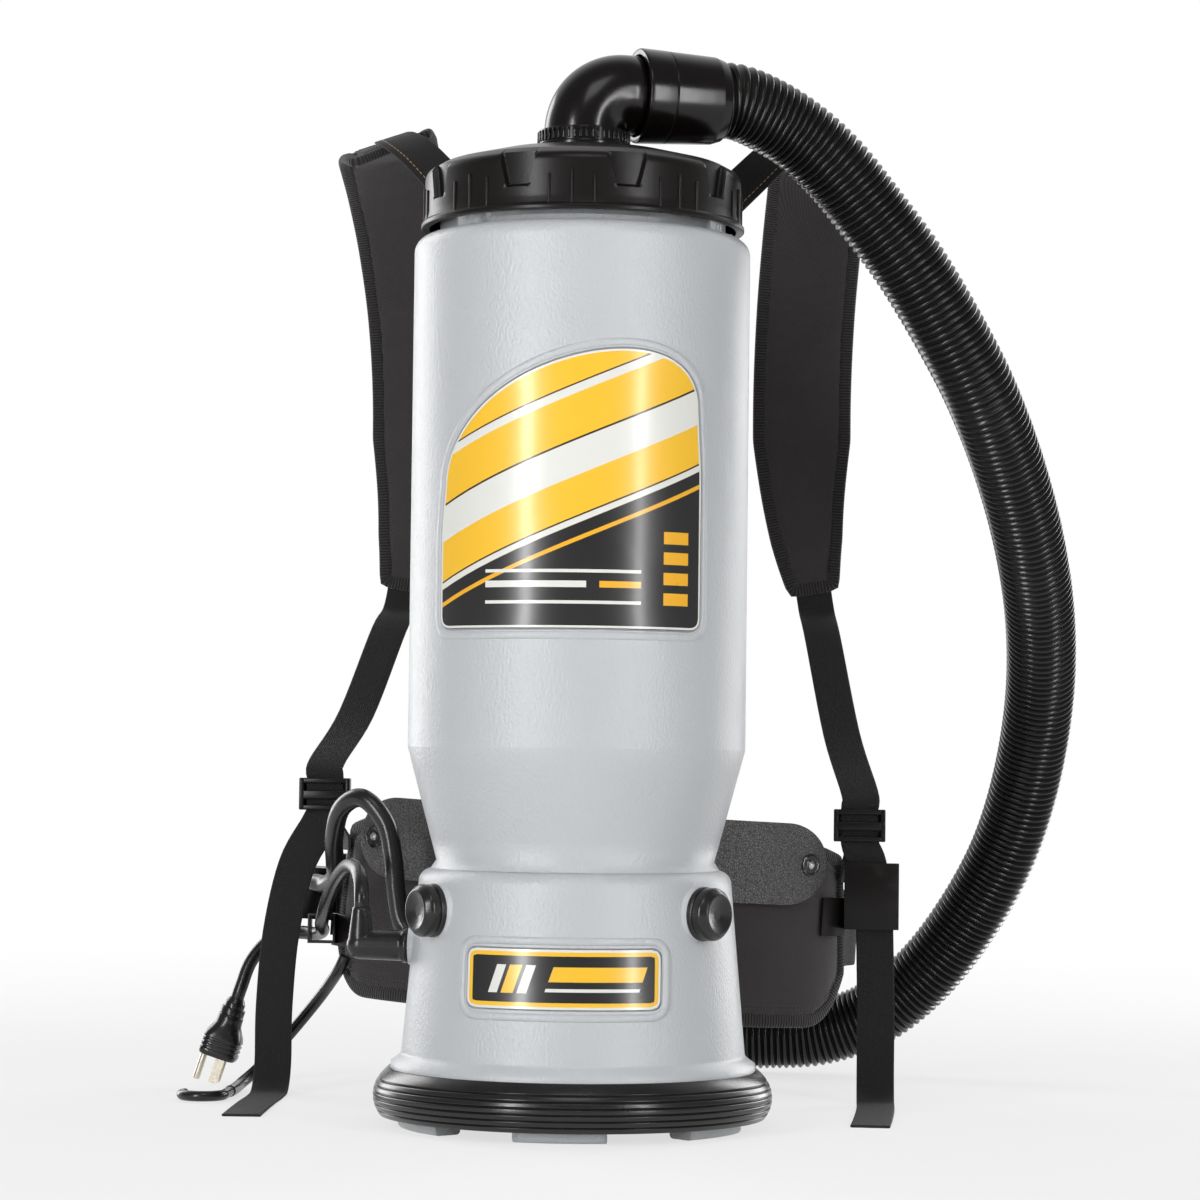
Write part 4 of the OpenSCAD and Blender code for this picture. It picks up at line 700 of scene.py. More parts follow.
def along_x(angle, z):
    """Places a turned piece so that its axis points outwards at that angle from +X, at height z."""
    turns = Matrix.Rotation(angle, 4, "Z") @ Matrix.Rotation(math.pi / 2, 4, "Y")
    return Matrix.Translation((0, 0, z)) @ turns


def tube(name, path, radius, sides=20):
    """A round cord along a path. Its rings are carried along it without twist."""
    turn, ahead, rings = circle(sides), headings(path), []
    side = np.cross(ahead[0], (0.3, 0.2, 1))
    for p, d in zip(path, ahead):
        side = unit(side - d * (side @ d))
        rings.append([p + radius * (math.cos(a) * side + math.sin(a) * np.cross(d, side)) for a in turn])
    return loft(name, rings, np.linspace(0, 1, sides + 1) * 2 * math.pi * radius, runs(path))


# %% [markdown]
# ## Geometry Nodes for what repeats
# Ribs, knurls, stitches and the hose's rings repeat along a circle or a path, so each is a small tree with
# named inputs. The result is turned into plain mesh before it is placed on its body.


# %% The Recipe class
class Recipe(Graph):
    """A Geometry Nodes tree whose inputs have names and first values."""

    def __init__(self, name, **inputs):
        super().__init__(bpy.data.node_groups.new(name, "GeometryNodeTree"))
        face = self.tree.interface
        face.new_socket("Geometry", in_out="INPUT", socket_type="NodeSocketGeometry")
        face.new_socket("Geometry", in_out="OUTPUT", socket_type="NodeSocketGeometry")
        for key, value in inputs.items():
            kind = "NodeSocketInt" if isinstance(value, int) else "NodeSocketFloat"
            face.new_socket(key, in_out="INPUT", socket_type=kind).default_value = value
        given = self.tree.nodes.new("NodeGroupInput")
        self.given = {s.name: Wire(self, s) for s in given.outputs if s.name}

    def step(self, kind, settings=None, **sockets):
        """Adds a geometry node. Its name here leaves out its first word."""
        named = {key.replace("_", " "): value for key, value in sockets.items()}
        return self.node("GeometryNode" + kind, settings, named)

    def vector(self, **parts):
        return self.node("ShaderNodeCombineXYZ", None, parts)

    def close(self, geometry, finish):
        whole = self.step("SetShadeSmooth", Geometry=self.step("RealizeInstances", Geometry=geometry))
        painted = self.step("SetMaterial", Geometry=whole, Material=FINISHES[finish])
        self.feed(self.tree.nodes.new("NodeGroupOutput").inputs, "Geometry", painted)

    def run(self, obj, **values):
        """Applies the tree to an object and leaves plain mesh."""
        added = obj.modifiers.new(self.tree.name, "NODES")
        added.node_group = self.tree
        for item in self.tree.interface.items_tree:
            if item.in_out == "INPUT" and item.name in values:
                added[item.identifier] = values[item.name]
        if obj.type == "MESH":
            bake(obj)
            return obj
        made = linked(obj.name, plain_mesh(obj))
        bpy.data.objects.remove(obj)
        return made


def line_object(name, path):
    """A plain curve through the points, as a path for a tree."""
    curve = bpy.data.curves.new(name, "CURVE")
    curve.dimensions = "3D"
    spline = curve.splines.new("POLY")
    spline.points.add(len(path) - 1)
    spline.points.foreach_set("co", np.column_stack([path, np.ones(len(path))]).ravel())
    return linked(name, curve)


# %% Ring of copies
def ring_recipe(finish):
    """Copies its own mesh round the Z axis, in groups: a group every 'Turn', its members 'Spread' apart."""
    r = Recipe("ring_of_" + finish, Count=9, Members=1, Turn=0.1, Spread=0.1, Start=0.0)
    members = r.given["Members"]
    points = r.step("Points", Count=r.given["Count"] * members)
    index = r.step("InputIndex")
    group = r.math("FLOOR", (index + 0.5) / members)
    member = index - group * members - (members - 1) / 2
    turn = r.vector(Z=r.given["Start"] + group * r.given["Turn"] + member * r.given["Spread"])
    r.close(r.step("InstanceOnPoints", Points=points, Instance=r.given["Geometry"], Rotation=turn), finish)
    return r


RINGS = {f: ring_recipe(f) for f in ("satin_black", "gloss_black")}


def ringed(bar, finish, body, slot, count, members=1, spread=0.0):
    """Copies a bar round the Z axis from the front in even groups, and lets the ring ride on its body."""
    pitch, apart = 2 * math.pi / count, math.radians(spread)
    RINGS[finish].run(bar, Count=count, Members=members, Turn=pitch, Spread=apart, Start=-math.pi / 2)
    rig.ride(bar, body)
    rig.slot(bar, slot)


# %% Ribbed hose
def hose_recipe():
    """Sweeps a circle whose size swells at each rib."""
    r = Recipe("ribbed_hose", Ribs=240, Samples=8, Sides=32, Crest=0.0245, Root=0.0222)
    crest, root = r.given["Crest"], r.given["Root"]
    factor = r.node("GeometryNodeSplineParameter", out="Factor")
    line = r.step("ResampleCurve", Curve=r.given["Geometry"], Count=r.given["Ribs"] * r.given["Samples"] + 1)
    swell = (0.5 - 0.5 * r.math("COSINE", factor * r.given["Ribs"] * (2 * math.pi))) ** 0.55
    stored = {"data_type": "FLOAT", "domain": "POINT"}
    kept = r.step("StoreNamedAttribute", stored, Geometry=line, Name="rib", Value=swell)
    ring = r.step("CurvePrimitiveCircle", Resolution=r.given["Sides"], Radius=1.0)
    size = root + (crest - root) * swell
    r.close(r.step("CurveToMesh", Curve=kept, Profile_Curve=ring, Scale=size, Fill_Caps=True), "hose_vinyl")
    return r


# %% Stitches
def stitch_recipe(finish):
    """Lays short thread stitches end to end along a path."""
    r = Recipe("stitches_" + finish, Pitch=0.003, Thick=0.00035)
    path, pitch, thick = r.given["Geometry"], r.given["Pitch"], r.given["Thick"]
    r.step("CurveToPoints", Curve=path, Count=r.math("ROUND", r.step("CurveLength", Curve=path) / pitch))
    points, turn = (Wire(r, r.tree.nodes[-1].outputs[out]) for out in ("Points", "Rotation"))
    ball = r.step("MeshUVSphere", Segments=6, Rings=5, Radius=1.0)
    size = r.vector(X=thick, Y=thick, Z=pitch * 0.4)
    r.close(r.step("InstanceOnPoints", Points=points, Instance=ball, Rotation=turn, Scale=size), finish)
    return r


STITCHES = {f: stitch_recipe(f) for f in ("black_thread", "tan_thread")}


def stitched(name, path, finish, slot, pitch=0.003, thick=0.00035):
    """A row of stitches along a path on the fixed harness."""
    row = STITCHES[finish].run(line_object(name, path), Pitch=pitch, Thick=thick)
    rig.ride(row, "root")
    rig.slot(row, slot)


def laid_on(obj, points, proud=0.0001):
    """Moves points to the nearest place on an object's skin, a little proud of it."""
    tree = BVHTree.FromPolygons([v.co for v in obj.data.vertices], [p.vertices for p in obj.data.polygons])
    found = [tree.find_nearest(Vector(p)) for p in points]
    return np.array([place + normal * proud for place, normal, _, _ in found])


# %% [markdown]
# ## Tank and lower housing
# The tank is one hollow moulding, straight at the top and drawn in at the waist, and it sits on the flared
# motor housing. Their solids already have the right form, so a smooth-shaded copy of each is enough.

# %% Shells
skirt_foot_r = 108.5 * MM
skirt_lean = 9.5 * MM / (z_skirt_top - z_skirt)


def tank_wall(z):
    return tank_r


def skirt_r(z):
    return skirt_foot_r - skirt_lean * (z - z_skirt)


tank, housing, _ = (dressed(n, "moulded_grey", sharp=30) for n in ("tank", "lower_housing", "base_feet"))
true_round(tank, tank_wall, z_taper - 0.1 * MM, z_shoulder - 9.5 * MM)
true_round(housing, skirt_r, z_skirt - 0.1 * MM, z_skirt_top + 0.1 * MM, skirt_lean)
dressed("base_tray", "satin_black", sharp=30)

# %% [markdown]
# ## Label sheets
# Each label is a thin printed sheet in a shallow recess. It is built as rings between its outline and its
# middle, so that its border is a true ring of faces, and then wrapped on the shell.


# %% Outlines
def widest(outlines, centre, count):
    """Outline of several overlapping shapes as seen from a point inside them all."""
    made = []
    for a in circle(count):
        d, best = np.array([math.cos(a), math.sin(a)]), 0
        for shape in outlines:
            p, q = shape - centre, np.roll(shape, -1, axis=0) - centre
            e = q - p
            bottom = d[0] * e[:, 1] - d[1] * e[:, 0]
            bottom[np.abs(bottom) < 1e-12] = 1e-12
            t = (p[:, 0] * e[:, 1] - p[:, 1] * e[:, 0]) / bottom
            s = (p[:, 0] * d[1] - p[:, 1] * d[0]) / bottom
            hit = t[(s >= 0) & (s <= 1) & (t > 0)]
            best = max(best, hit.max() if len(hit) else 0)
        made.append(centre + d * best)
    return np.array(made)


def rounded_corners(points, radius, steps=6):
    return fillet([points[-1], *points, points[0]], radius, steps)[1:-1]


def label_outline(grow=0.0):
    """A panel under a tilted oval, grown on all sides."""
    a, b, half, corner = 91 * MM + grow, 49 * MM + grow, 89 * MM + grow, 8 * MM + grow
    tilt, up = math.radians(23), 113 * MM
    c, s = math.cos(tilt), math.sin(tilt)
    oval = [(a * np.cos(t) * c - b * np.sin(t) * s, up + a * np.cos(t) * s + b * np.sin(t) * c)
            for t in circle(96)]
    reach = math.hypot(a * c, b * s)
    rise = (a * a - b * b) * s * c / reach
    panel = [(-reach, up - rise), (-half, up - rise - 30 * MM), (-half, -grow), (half, -grow),
             (half, up - 18 * MM), (reach, up + rise)]
    panel = rounded_corners(panel, [0, 0, 60 * MM, corner, corner, 60 * MM, 0, 0])
    return widest([np.array(oval), panel], mm(0, 92), 288) + mm(0, 311)


def plate_outline(grow=0.0):
    half, low, high = 62 * MM + grow, 80 * MM - grow, 116 * MM + grow
    corners = [(-half, low), (half, low), (half, high), (-half, high)]
    return widest([rounded_corners(corners, 6.5 * MM + grow)], mm(0, 98), 160)


def sheet_rings(outline, borders, steps=9):
    """Rings of points from the outline inwards: first the borders, then steps to the middle."""
    run = unit(np.roll(outline, -1, axis=0) - np.roll(outline, 1, axis=0))
    inwards = np.column_stack([-run[:, 1], run[:, 0]])
    rings = [outline] + [outline + inwards * (b * MM) for b in borders]
    centre = outline.mean(axis=0)
    return np.array(rings + [centre + (rings[-1] - centre) * k / steps for k in range(steps - 1, -1, -1)])


def wrapped(ring, radius_at, proud):
    """Wraps flat points (round, up) on the shell, proud of its face."""
    made = []
    for x, y in ring:
        r, angle = radius_at(y), x / radius_at(y)
        made.append(((r + proud) * math.sin(angle), -(r + proud) * math.cos(angle), y))
    return made


def lip(name, outline_at, radius_at, out, high):
    """A soft raised moulding that follows the outline, its middle that far out."""
    section = ((-0.5, -0.7), (-0.42, 0.3), (-0.25, 0.9), (0, 1), (0.25, 0.9), (0.42, 0.3), (0.5, -0.7))
    wide = 5.4 * MM
    rings = [wrapped(outline_at(out + a * wide), radius_at, h * high) for a, h in section]
    return finish_piece(loft(name, rings, caps=False, loop=True), "moulded_grey", slot="grey_shell", sharp=60)


def wrapped_sheet(name, flat, rim, radius_at, lean, finish, node):
    """Wraps flat rings of (round, up) on the shell and adds the 'rim' attribute for the border's print."""
    proud, (m, n) = 0.25 * MM, flat.shape[:2]
    low, high = flat[0, :, 1].min(), flat[0, :, 1].max()
    obj = loft(name, [wrapped(ring, radius_at, proud) for ring in flat], caps=False)
    corner = np.array([v for p in obj.data.polygons for v in p.vertices])
    uv = flat.reshape(-1, 2)[corner] - np.array([0, low])
    obj.data.uv_layers["UVMap"].data.foreach_set("uv", uv.ravel())
    values = [rim[min(i, len(rim) - 1)] for i in range(m) for _ in range(n)]
    obj.data.attributes.new("rim", "FLOAT", "POINT").data.foreach_set("value", values)
    merged(obj)
    thick = obj.modifiers.new("thickness", "SOLIDIFY")
    thick.thickness, thick.offset = 0.7 * MM, -1
    bake(obj)
    finish_piece(obj, finish, node, solid=False)
    true_round(obj, lambda z: radius_at(z) + proud, low - MM, high + MM, lean)
    print(name, len(obj.data.vertices), "points")


# %% Label and small plate
label_rings = sheet_rings(label_outline(), [1.3, 1.35])
plate_rings = sheet_rings(plate_outline(), [1.5, 1.55, 4, 4.05])
plate_rim = [1, 1, 0.5, 0.5, 0]
wrapped_sheet("label_sheet", label_rings, [1, 1, 0], tank_wall, 0, "printed_label", "label_panel")
wrapped_sheet("plate_sheet", plate_rings, plate_rim, skirt_r, skirt_lean, "printed_plate", "name_plate")
lip("label_surround", label_outline, tank_wall, 4.6 * MM, 0.8 * MM)
lip("plate_surround", plate_outline, skirt_r, 5.0 * MM, 1.0 * MM)

# %% [markdown]
# ## Bumper, side bumpers and cap
# The bumper is a rubber ring with fine grooves, so a lathe profile gives it exactly. The cap is turned too,
# but its wall is cut by nine finger notches: each ring of the turned mesh is pressed in where a notch is.


# %% Bumper
def bumper_profile():
    inner_r, foot, high = 113 * MM, z_tray + 0.5 * MM, 29.5 * MM
    points = [(inner_r, foot)]
    for u in np.arange(131) / 130:
        bulge = (126 - 9 * abs((u - 0.42) / 0.58) ** 2.2) * MM
        groove = 0 if u > 0.84 else max(0.0, math.cos((u - 0.12) / 0.13 * 2 * math.pi)) ** 3
        points.append((bulge - 1.1 * MM * groove * (u > 0.05), foot + u * high))
    return points + [(inner_r, z_flange)]


bumper = turned("bumper_rubber", bumper_profile(), 192, loop=True)
finish_piece(bumper, "soft_rubber", "bumper_ring", sharp=60)

# %% Side bumpers
knob_z, knob_turn = 137 * MM, 54.6
knob_points = [(0, 11.2), (3.5, 11.3), (8, 12.4), (12.4, 13.9), (16.4, 9.6), (16.3, 4.6), (14.9, 3.8),
               (16.6, 2.9), (16.75, 0.1), (3.6, 0), (3.6, -8), (0, -8)]
knob = fillet(knob_points, [0, 1, 4, 2.2, 4, 0.6, 0.5, 0.6, 0.3, 0, 0, 0], 6) * MM
for side, word in SIDES:
    node = "side_bumper_" + word
    place = along_x(math.radians(-90 + side * knob_turn), knob_z)
    made = turned(node + "_knob", knob + (0, skirt_r(knob_z) + 1.5 * MM), 64, place)
    finish_piece(made, "soft_rubber", node, sharp=50)

# %% Cap
cap_r, notch_z, notch_depth, notches = 100.8 * MM, 583 * MM, 4.3 * MM, 9


def cap_profile():
    """Points up the outside, close together where the notches are, and then down the inside."""
    corners = [(97.8, 567.5), (103, 567.5), (103, 570), (101.4, 571.6), (100.8, 576), (100.8, 602),
               (90.6, 607.6), (60, 615.4), (30, 620), (27.7, 620.5)]
    wall = fillet(corners, [0, 0.8, 1.2, 1, 0, 7, 12, 20, 2, 0], 7) * MM
    made = [wall[0]]
    for a, b in zip(wall[:-1], wall[1:]):
        notched = 575 * MM < b[1] < z_cap_wall + 5 * MM
        steps = max(1, int(np.linalg.norm(b - a) / 0.0011)) if notched else 1
        made += [a + (b - a) * k / steps for k in range(1, steps + 1)]
    return made, mm((27.7, 617), (60, 611), (90, 603), (94.5, 597), (94.5, 580), (97.8, 579))


def step_up(x, low, high):
    t = np.clip((x - low) / (high - low), 0, 1)
    return t * t * (3 - 2 * t)


def mirrored(half, sign=1):
    """A row of values with its copy, times the sign, on the other side of its first one."""
    return np.concatenate([sign * half[:0:-1], half[:-1]])


def cap_mesh():
    """Turned rings whose columns lean with the notches' slanted sides, so that those stay crisp."""
    outer, inner = cap_profile()
    press = mirrored(np.array([1] * 8 + [0.93, 0.5, 0.07] + [0] * 14))
    edge, rings = 0.5 * MM / cap_r, []
    for i, (r, z) in enumerate([*outer, *inner]):
        half = (7 + 8 * np.clip((z - notch_z) / (30 * MM), 0, 1.3)) * MM / cap_r
        flank = half + edge * np.array([-0.6, 0, 0.6])
        wall_turn = np.linspace(half + edge, math.pi / notches, 14)
        side = np.concatenate([np.linspace(0, half - edge, 8), flank, wall_turn])
        turn = np.concatenate([mirrored(side, -1) + math.radians(-70 + 40 * k) for k in range(notches)])
        wall = i < len(outer) and r > 80 * MM
        depth = press * step_up(z, notch_z - 1.1 * MM, notch_z + 0.6 * MM) * wall
        radius = np.tile(r + (min(r, cap_r - notch_depth) - r) * depth, notches)
        rings.append(np.column_stack([radius * np.cos(turn), radius * np.sin(turn), np.full(len(turn), z)]))
    return loft("cap_moulding", rings, caps=False, loop=True)


cap = finish_piece(cap_mesh(), "satin_black", "cap", sharp=50)
for name, members, tall in (("cap_side_ribs", 2, 19), ("cap_middle_ribs", 1, 22)):
    rib = block(name, mm(99.9, -0.75, 570.5), mm(101.9, 0.75, 570.5 + tall))
    ringed(softened(rib, 0.6 * MM), "satin_black", "lid", "black_shell", notches, members, 16)
print("cap", len(cap.data.polygons), "faces")

# %% [markdown]
# ## Elbow, cuffs and hose
# The elbow and both cuffs are smooth polished mouldings. The hose is a vinyl tube over a wire coil: a circle
# swept along its route, which swells at each of its ribs. Its route is given as a list of points, and it lies on the
# floor behind the tank as it would when the cleaner is put down.

# %% Elbow and cuffs
dressed("elbow", "gloss_black", sharp=50)
near_cuff = [(25.4, 2), (26.6, 0), (30.5, 0), (30.5, 3.4), (29.9, 18), (29.2, 18.6), (29.7, 19.5), (28.2, 51),
             (26.2, 57), (25.4, 57), (25.3, 22), (19, 22), (19, 15), (25.4, 15)]
near_radii = [0, 0.5, 1.8, 0.4, 0.3, 0.3, 0.3, 2, 0.4, 0.3, 0, 0, 0, 0]
far_cuff = [(25.3, 0), (27, 0), (27.5, 1), (27.5, 39), (25.5, 43), (25.5, 74.2), (24.5, 75), (19, 75),
            (19, 33), (25.3, 33)]
far_radii = [0, 0.4, 0.8, 1.6, 1.6, 0.6, 0.5, 0.5, 0, 0]
at_elbow = along_x(outlet_angle, z_outlet) @ Matrix.Translation((0, 0, 35 * MM))
on_floor = Matrix.Translation(mm(-35, 417, 27.7)) @ Matrix.Rotation(-math.pi / 2, 4, "Y")
for name, node, profile, radii, place in (
    ("hose_cuff_shell", "hose_cuff", near_cuff, near_radii, at_elbow),
    ("end_cuff_shell", "hose_end_cuff", far_cuff, far_radii, on_floor),
):
    rounded = fillet(profile, radii, 5) * MM
    finish_piece(turned(name, rounded, 96, place, loop=True), "gloss_black", node, sharp=45)

# %% Hose
rib_pitch = 0.00476
out, lift = np.array([math.cos(outlet_angle), math.sin(outlet_angle), 0]), np.array([0, 0, z_outlet])
hose_route = [*(out * s * MM + lift for s in (57, 81, 106)), *mm(
    (130, 53, 644), (158, 64, 622), (184, 76, 592), (210, 88, 559), (236, 106, 519), (260, 131, 477),
    (281, 170, 430), (297, 212, 381), (307, 258, 330), (309, 302, 277), (302, 340, 220), (287, 368, 167),
    (262, 389, 118), (231, 402, 76), (195, 410, 46), (155, 415, 31), (112, 417, 27.7), (68, 417, 27.7),
    (25, 417, 27.7), (-20, 417, 27.7), (-68, 417, 27.7))]
hose_path = even(smooth(hose_route, 12), 400)
hose_length = float(runs(hose_path)[-1])
ribs = int(round(hose_length / rib_pitch))
hose_line = line_object("ribbed_hose", hose_path)
hose = hose_recipe().run(hose_line, Ribs=ribs, Samples=8, Sides=48, Crest=24.6 * MM, Root=22.1 * MM)
finish_piece(hose, "hose_vinyl", "hose", sharp=80)
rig.cord(hose, exit=hose_path[0], length=hose_length, diameter=0.0492, far_end="fitting", stiffness="stiff",
        lay="loose", path=hose_path, with_pieces=["end_cuff_shell"])
print("hose", round(hose_length, 3), "m,", len(hose.data.polygons), "faces")

# %% Collar and its knurls
collar_points = [(25.45, 607.5), (30.6, 607.5), (30.6, 616.5), (31, 620.8), (31, 622.4), (29, 622.6),
                 (29, 631.8), (25.45, 631.8)]
collar = fillet(collar_points, [0, 0, 0, 0.3, 0.5, 0.5, 0.8, 0], 4) * MM
finish_piece(turned("collar_ring", collar, 96, loop=True), "gloss_black", "inlet_collar", sharp=45)
knurl = block("collar_knurls", mm(28.2, -0.85, 623.8), mm(29.8, 0.85, 630.8))
ringed(softened(knurl, 0.45 * MM, 2), "gloss_black", "collar", "gloss_black", 48)

# %% [markdown]
# ## Backplate and rivets
# The backplate is a sheet of tough board with a wing at each hip. A washer and a pop rivet hold each wing to
# its belt pad.

# %% Plate and rivets
dressed("backplate", "leather_board", 0.6 * MM, 2, sharp=45)
dressed("backplate_screws", "zinc_steel", sharp=30)


def rivet_matrix(side, angle=50, proud=4.3 * MM):
    """Places a turned piece flat on the wing of that side."""
    x, y = hip(side * angle, proud)
    lean = side * math.atan(math.tan(math.radians(angle)) * hip_b / hip_a)
    turns = Matrix.Rotation(lean, 4, "Z") @ Matrix.Rotation(math.pi / 2, 4, "X")
    up, down = Matrix.Translation((0, 0, wing_z)), Matrix.Translation((0, 0, -wing_z))
    return up @ Matrix.Rotation(belt_roll, 4, "Y") @ down @ Matrix.Translation((x, y, wing_z)) @ turns


washer_points = [(2.1, 0.2), (7.5, 0.2), (7.5, 1.1), (6.3, 1.5), (5.4, 1.15), (3.9, 1.15), (3.2, 1.5),
                 (2.1, 1.3)]
head_points = [(0, 3.1), (1.2, 3.0), (2.6, 2.0), (2.9, 1.3), (2.9, 0.9), (1.9, 0.9), (1.9, -3.8), (0, -3.8)]
washer, head = fillet(washer_points, 0.25, 3), fillet(head_points, [0, 0.8, 0.8, 0.2, 0, 0, 0, 0], 4)
for name, profile, finish, loop in (
    ("rivet_washer", washer, "black_zinc", True),
    ("rivet_head", head, "zinc_steel", False),
):
    for side, word in SIDES:
        made = turned(f"{name}_{word}", profile * MM, 48, rivet_matrix(side), loop)
        finish_piece(made, finish, "wing_rivets", sharp=50)

# %% [markdown]
# ## Padded pieces
# Foam pads covered in packcloth. Each starts as a lofted form a little thinner than the real one. A short
# cloth simulation with air pressure then swells it against its sewn edge, which gives it the soft crowns and
# small tucks of a stuffed piece. Tape binds the edge, and two rows of stitches hold the tape.


# %% Swell a pad
def swollen(obj, sewn, reach, voxel=0.005, pressure=4.0, frames=20):
    """Cloth with air inside: sewn(co) says which points are sewn down. Moves are capped at reach."""
    remesh = obj.modifiers.new("voxels", "REMESH")
    remesh.mode, remesh.voxel_size = "VOXEL", voxel
    bake(obj)
    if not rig.quick():
        rest = np.array([v.co for v in obj.data.vertices])
        group = obj.vertex_groups.new(name="sewn")
        group.add([i for i, co in enumerate(rest) if sewn(co)], 1.0, "REPLACE")
        cloth = obj.modifiers.new("air", "CLOTH")
        cloth.settings.use_pressure = True
        cloth.settings.uniform_pressure_force = pressure
        cloth.settings.effector_weights.gravity = 0
        cloth.settings.vertex_group_mass = "sewn"
        cloth.collision_settings.use_collision = False
        cloth.point_cache.frame_end = frames
        for now in range(1, frames + 1):
            bpy.context.scene.frame_set(now)
        swelled = obj.evaluated_get(bpy.context.evaluated_depsgraph_get()).data
        move = np.array([v.co for v in swelled.vertices]) - rest
        move *= np.minimum(1, reach / np.maximum(np.linalg.norm(move, axis=1, keepdims=True), 1e-9))
        obj.modifiers.clear()
        obj.data.vertices.foreach_set("co", (rest + move).ravel())
        bpy.context.scene.frame_set(1)
    finer = obj.modifiers.new("finer", "SUBSURF")
    finer.levels = finer.render_levels = 1
    bake(obj)


def cloth_pad(name, node, rings, sewn, reach, fill=0.5):
    """Lofts a pad, swells it between its sewn edges and covers it."""
    pad = loft(name, rings)
    swollen(pad, sewn, reach)
    finish_piece(pad, "pad_cloth", node, sharp=180)
    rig.padded(pad, fill=fill)
    print(node, len(pad.data.polygons), "faces")
    return pad


def near_rim(rim, distance):
    """A test for the points that lie that near to a pad's sewn rim."""
    tree = BVHTree.FromPolygons([tuple(p) for p in rim], [(i, i, i) for i in range(len(rim))], epsilon=0.001)
    return lambda co: tree.find_nearest(Vector(co))[3] < distance


def oval(wide, thick, turn, across=0.7, up=0.7):
    """Points round an oval. Its powers across and up are 1 for an ellipse, and lower for a squarer form."""
    c, s = np.cos(turn), np.sin(turn)
    return np.column_stack([wide * np.sign(c) * np.abs(c) ** across, thick * np.sign(s) * np.abs(s) ** up])


def lens(width, thick, count):
    """Crowned section: full in the middle and drawn in at its edges."""
    return oval(width / 2, thick / 2, (np.arange(count) + 0.5) / count * 2 * math.pi, 0.6, 0.75)


# %% Belt pads
pad_t = 14 * MM


def belt_edges(u):
    """Heights of a belt pad's lower and upper edge, where u runs from the back to the hip."""
    return (62 + 34 * max(0, (u - 0.75) / 0.25) ** 2) * MM, (188 - 12 * u * u) * MM


def belt_place(side):
    """Gives a belt pad's points: across in metres from its middle, off from its middle plane."""
    def place(u, across, off=0.0):
        x, y = hip(side * (1.5 + 67.5 * u - 60 * u * across), off - pad_t / 2)
        return worn(x, y, sum(belt_edges(u)) / 2 + across)

    return place


def belt_half(u):
    """Half the belt pad's width, a little less at both ends."""
    low, high = belt_edges(u)
    return (high - low) / 2 * (0.9 + 0.1 * min(1, 9 * min(u, 1 - u)) ** 0.5)


def belt_pad(side, word):
    place, shrink, rings = belt_place(side), 2.2 * MM, []
    for u in np.linspace(0.012, 0.988, 60):
        thick = (3 + 11 * min(1, min(u, 1 - u) * 9) ** 0.5) * MM - 1.6 * shrink
        section = lens(2 * belt_half(u) - 2 * shrink, max(thick, 0.004), 40)
        rings.append([place(u, x, y) for x, y in section])
    rim = [place(u, s * (belt_half(u) - 2.5 * MM)) for s in (-1, 1) for u in np.linspace(0, 1, 60)]
    rim += [place(u, x * belt_half(u)) for u in (0.012, 0.988) for x in np.linspace(-1, 1, 30)]
    return cloth_pad("belt_pad_cloth_" + word, "belt_pad_" + word, rings, near_rim(rim, 0.007), 0.0035)


BELT_PADS = {side: belt_pad(side, word) for side, word in SIDES}

# %% Lumbar pad
lumbar_t, lumbar_y, lumbar_z, lumbar_tall = 18 * MM, 116.3 * MM, 213 * MM, 337 * MM
lumbar_seams = (0.33, 0.67)


def lumbar_ring(u, extra=2 * MM):
    """One level of the lumbar pad: a crowned front, drawn in at both seams, and a flat back."""
    edge = min(1, 6 * min(u, 1 - u))
    w = (62 * (0.8 + 0.2 * math.sqrt(edge)) - 8 * u) * MM - extra
    dip = 1 - sum(0.45 * max(0, 1 - abs(u - seam) * 20) for seam in lumbar_seams)
    t = 3 * MM + (lumbar_t - 3 * MM - extra) * math.sqrt(edge) * dip
    back = [(w * (1 - 2 * k / 9), 0) for k in range(1, 9)]
    outline = [*oval(-w, t, np.linspace(0, math.pi, 30), 0.6), *back]
    return [(x, lumbar_y + y, lumbar_z + lumbar_tall * u) for x, y in outline]


def lumbar_sewn(co):
    u = (co[2] - lumbar_z) / lumbar_tall
    return co[1] < 119 * MM or any(abs(u - seam) < 0.012 for seam in lumbar_seams)


lumbar_rings = [lumbar_ring(u) for u in np.linspace(0.004, 0.996, 90)]
cloth_pad("lumbar_cushion", "lumbar_pad", lumbar_rings, lumbar_sewn, 0.004, fill=0.6)

# %% Shoulder pads
shoulder_w, shoulder_z, shoulder_steps = 64 * MM, 600 * MM, 90
pad_route = mm((-7, 38, 46), (-2, 50, 50), (0, 62, 51.5), (2, 88, 49), (0, 123, 30), (-4, 156, -4),
               (-8, 184, -52), (-10, 200, -110), (-9, 204, -170), (-5, 202, -215), (0, 198, -248))
pad_route += (148 * MM, plate_y, shoulder_z)
pad_path = even(smooth(pad_route, 8), shoulder_steps)
pad_heads = headings(pad_path)


def shoulder_frame(i):
    """The directions across and out of the pad at that step of its path, its width and its fullness."""
    u, t = i / shoulder_steps, pad_heads[i]
    outwards = unit(np.cross(np.array([1, 0, -0.32 * (1 - u)]), t))
    full = min(1, min(u, 1 - u) * 10) ** 0.5
    wide = shoulder_w * min(1, 0.55 + 1.6 * (1 - u)) * (0.8 + 0.2 * full)
    return unit(np.cross(t, outwards)), outwards, wide, full


def shoulder_place(side):
    """Gives a shoulder pad's points, as belt_place does for the belt."""
    def place(u, across, off=0.0):
        i = int(round(u * shoulder_steps))
        wide_way, outwards, *_ = shoulder_frame(i)
        return (pad_path[i] + wide_way * across + outwards * off) * np.array([side, 1, 1])

    return place


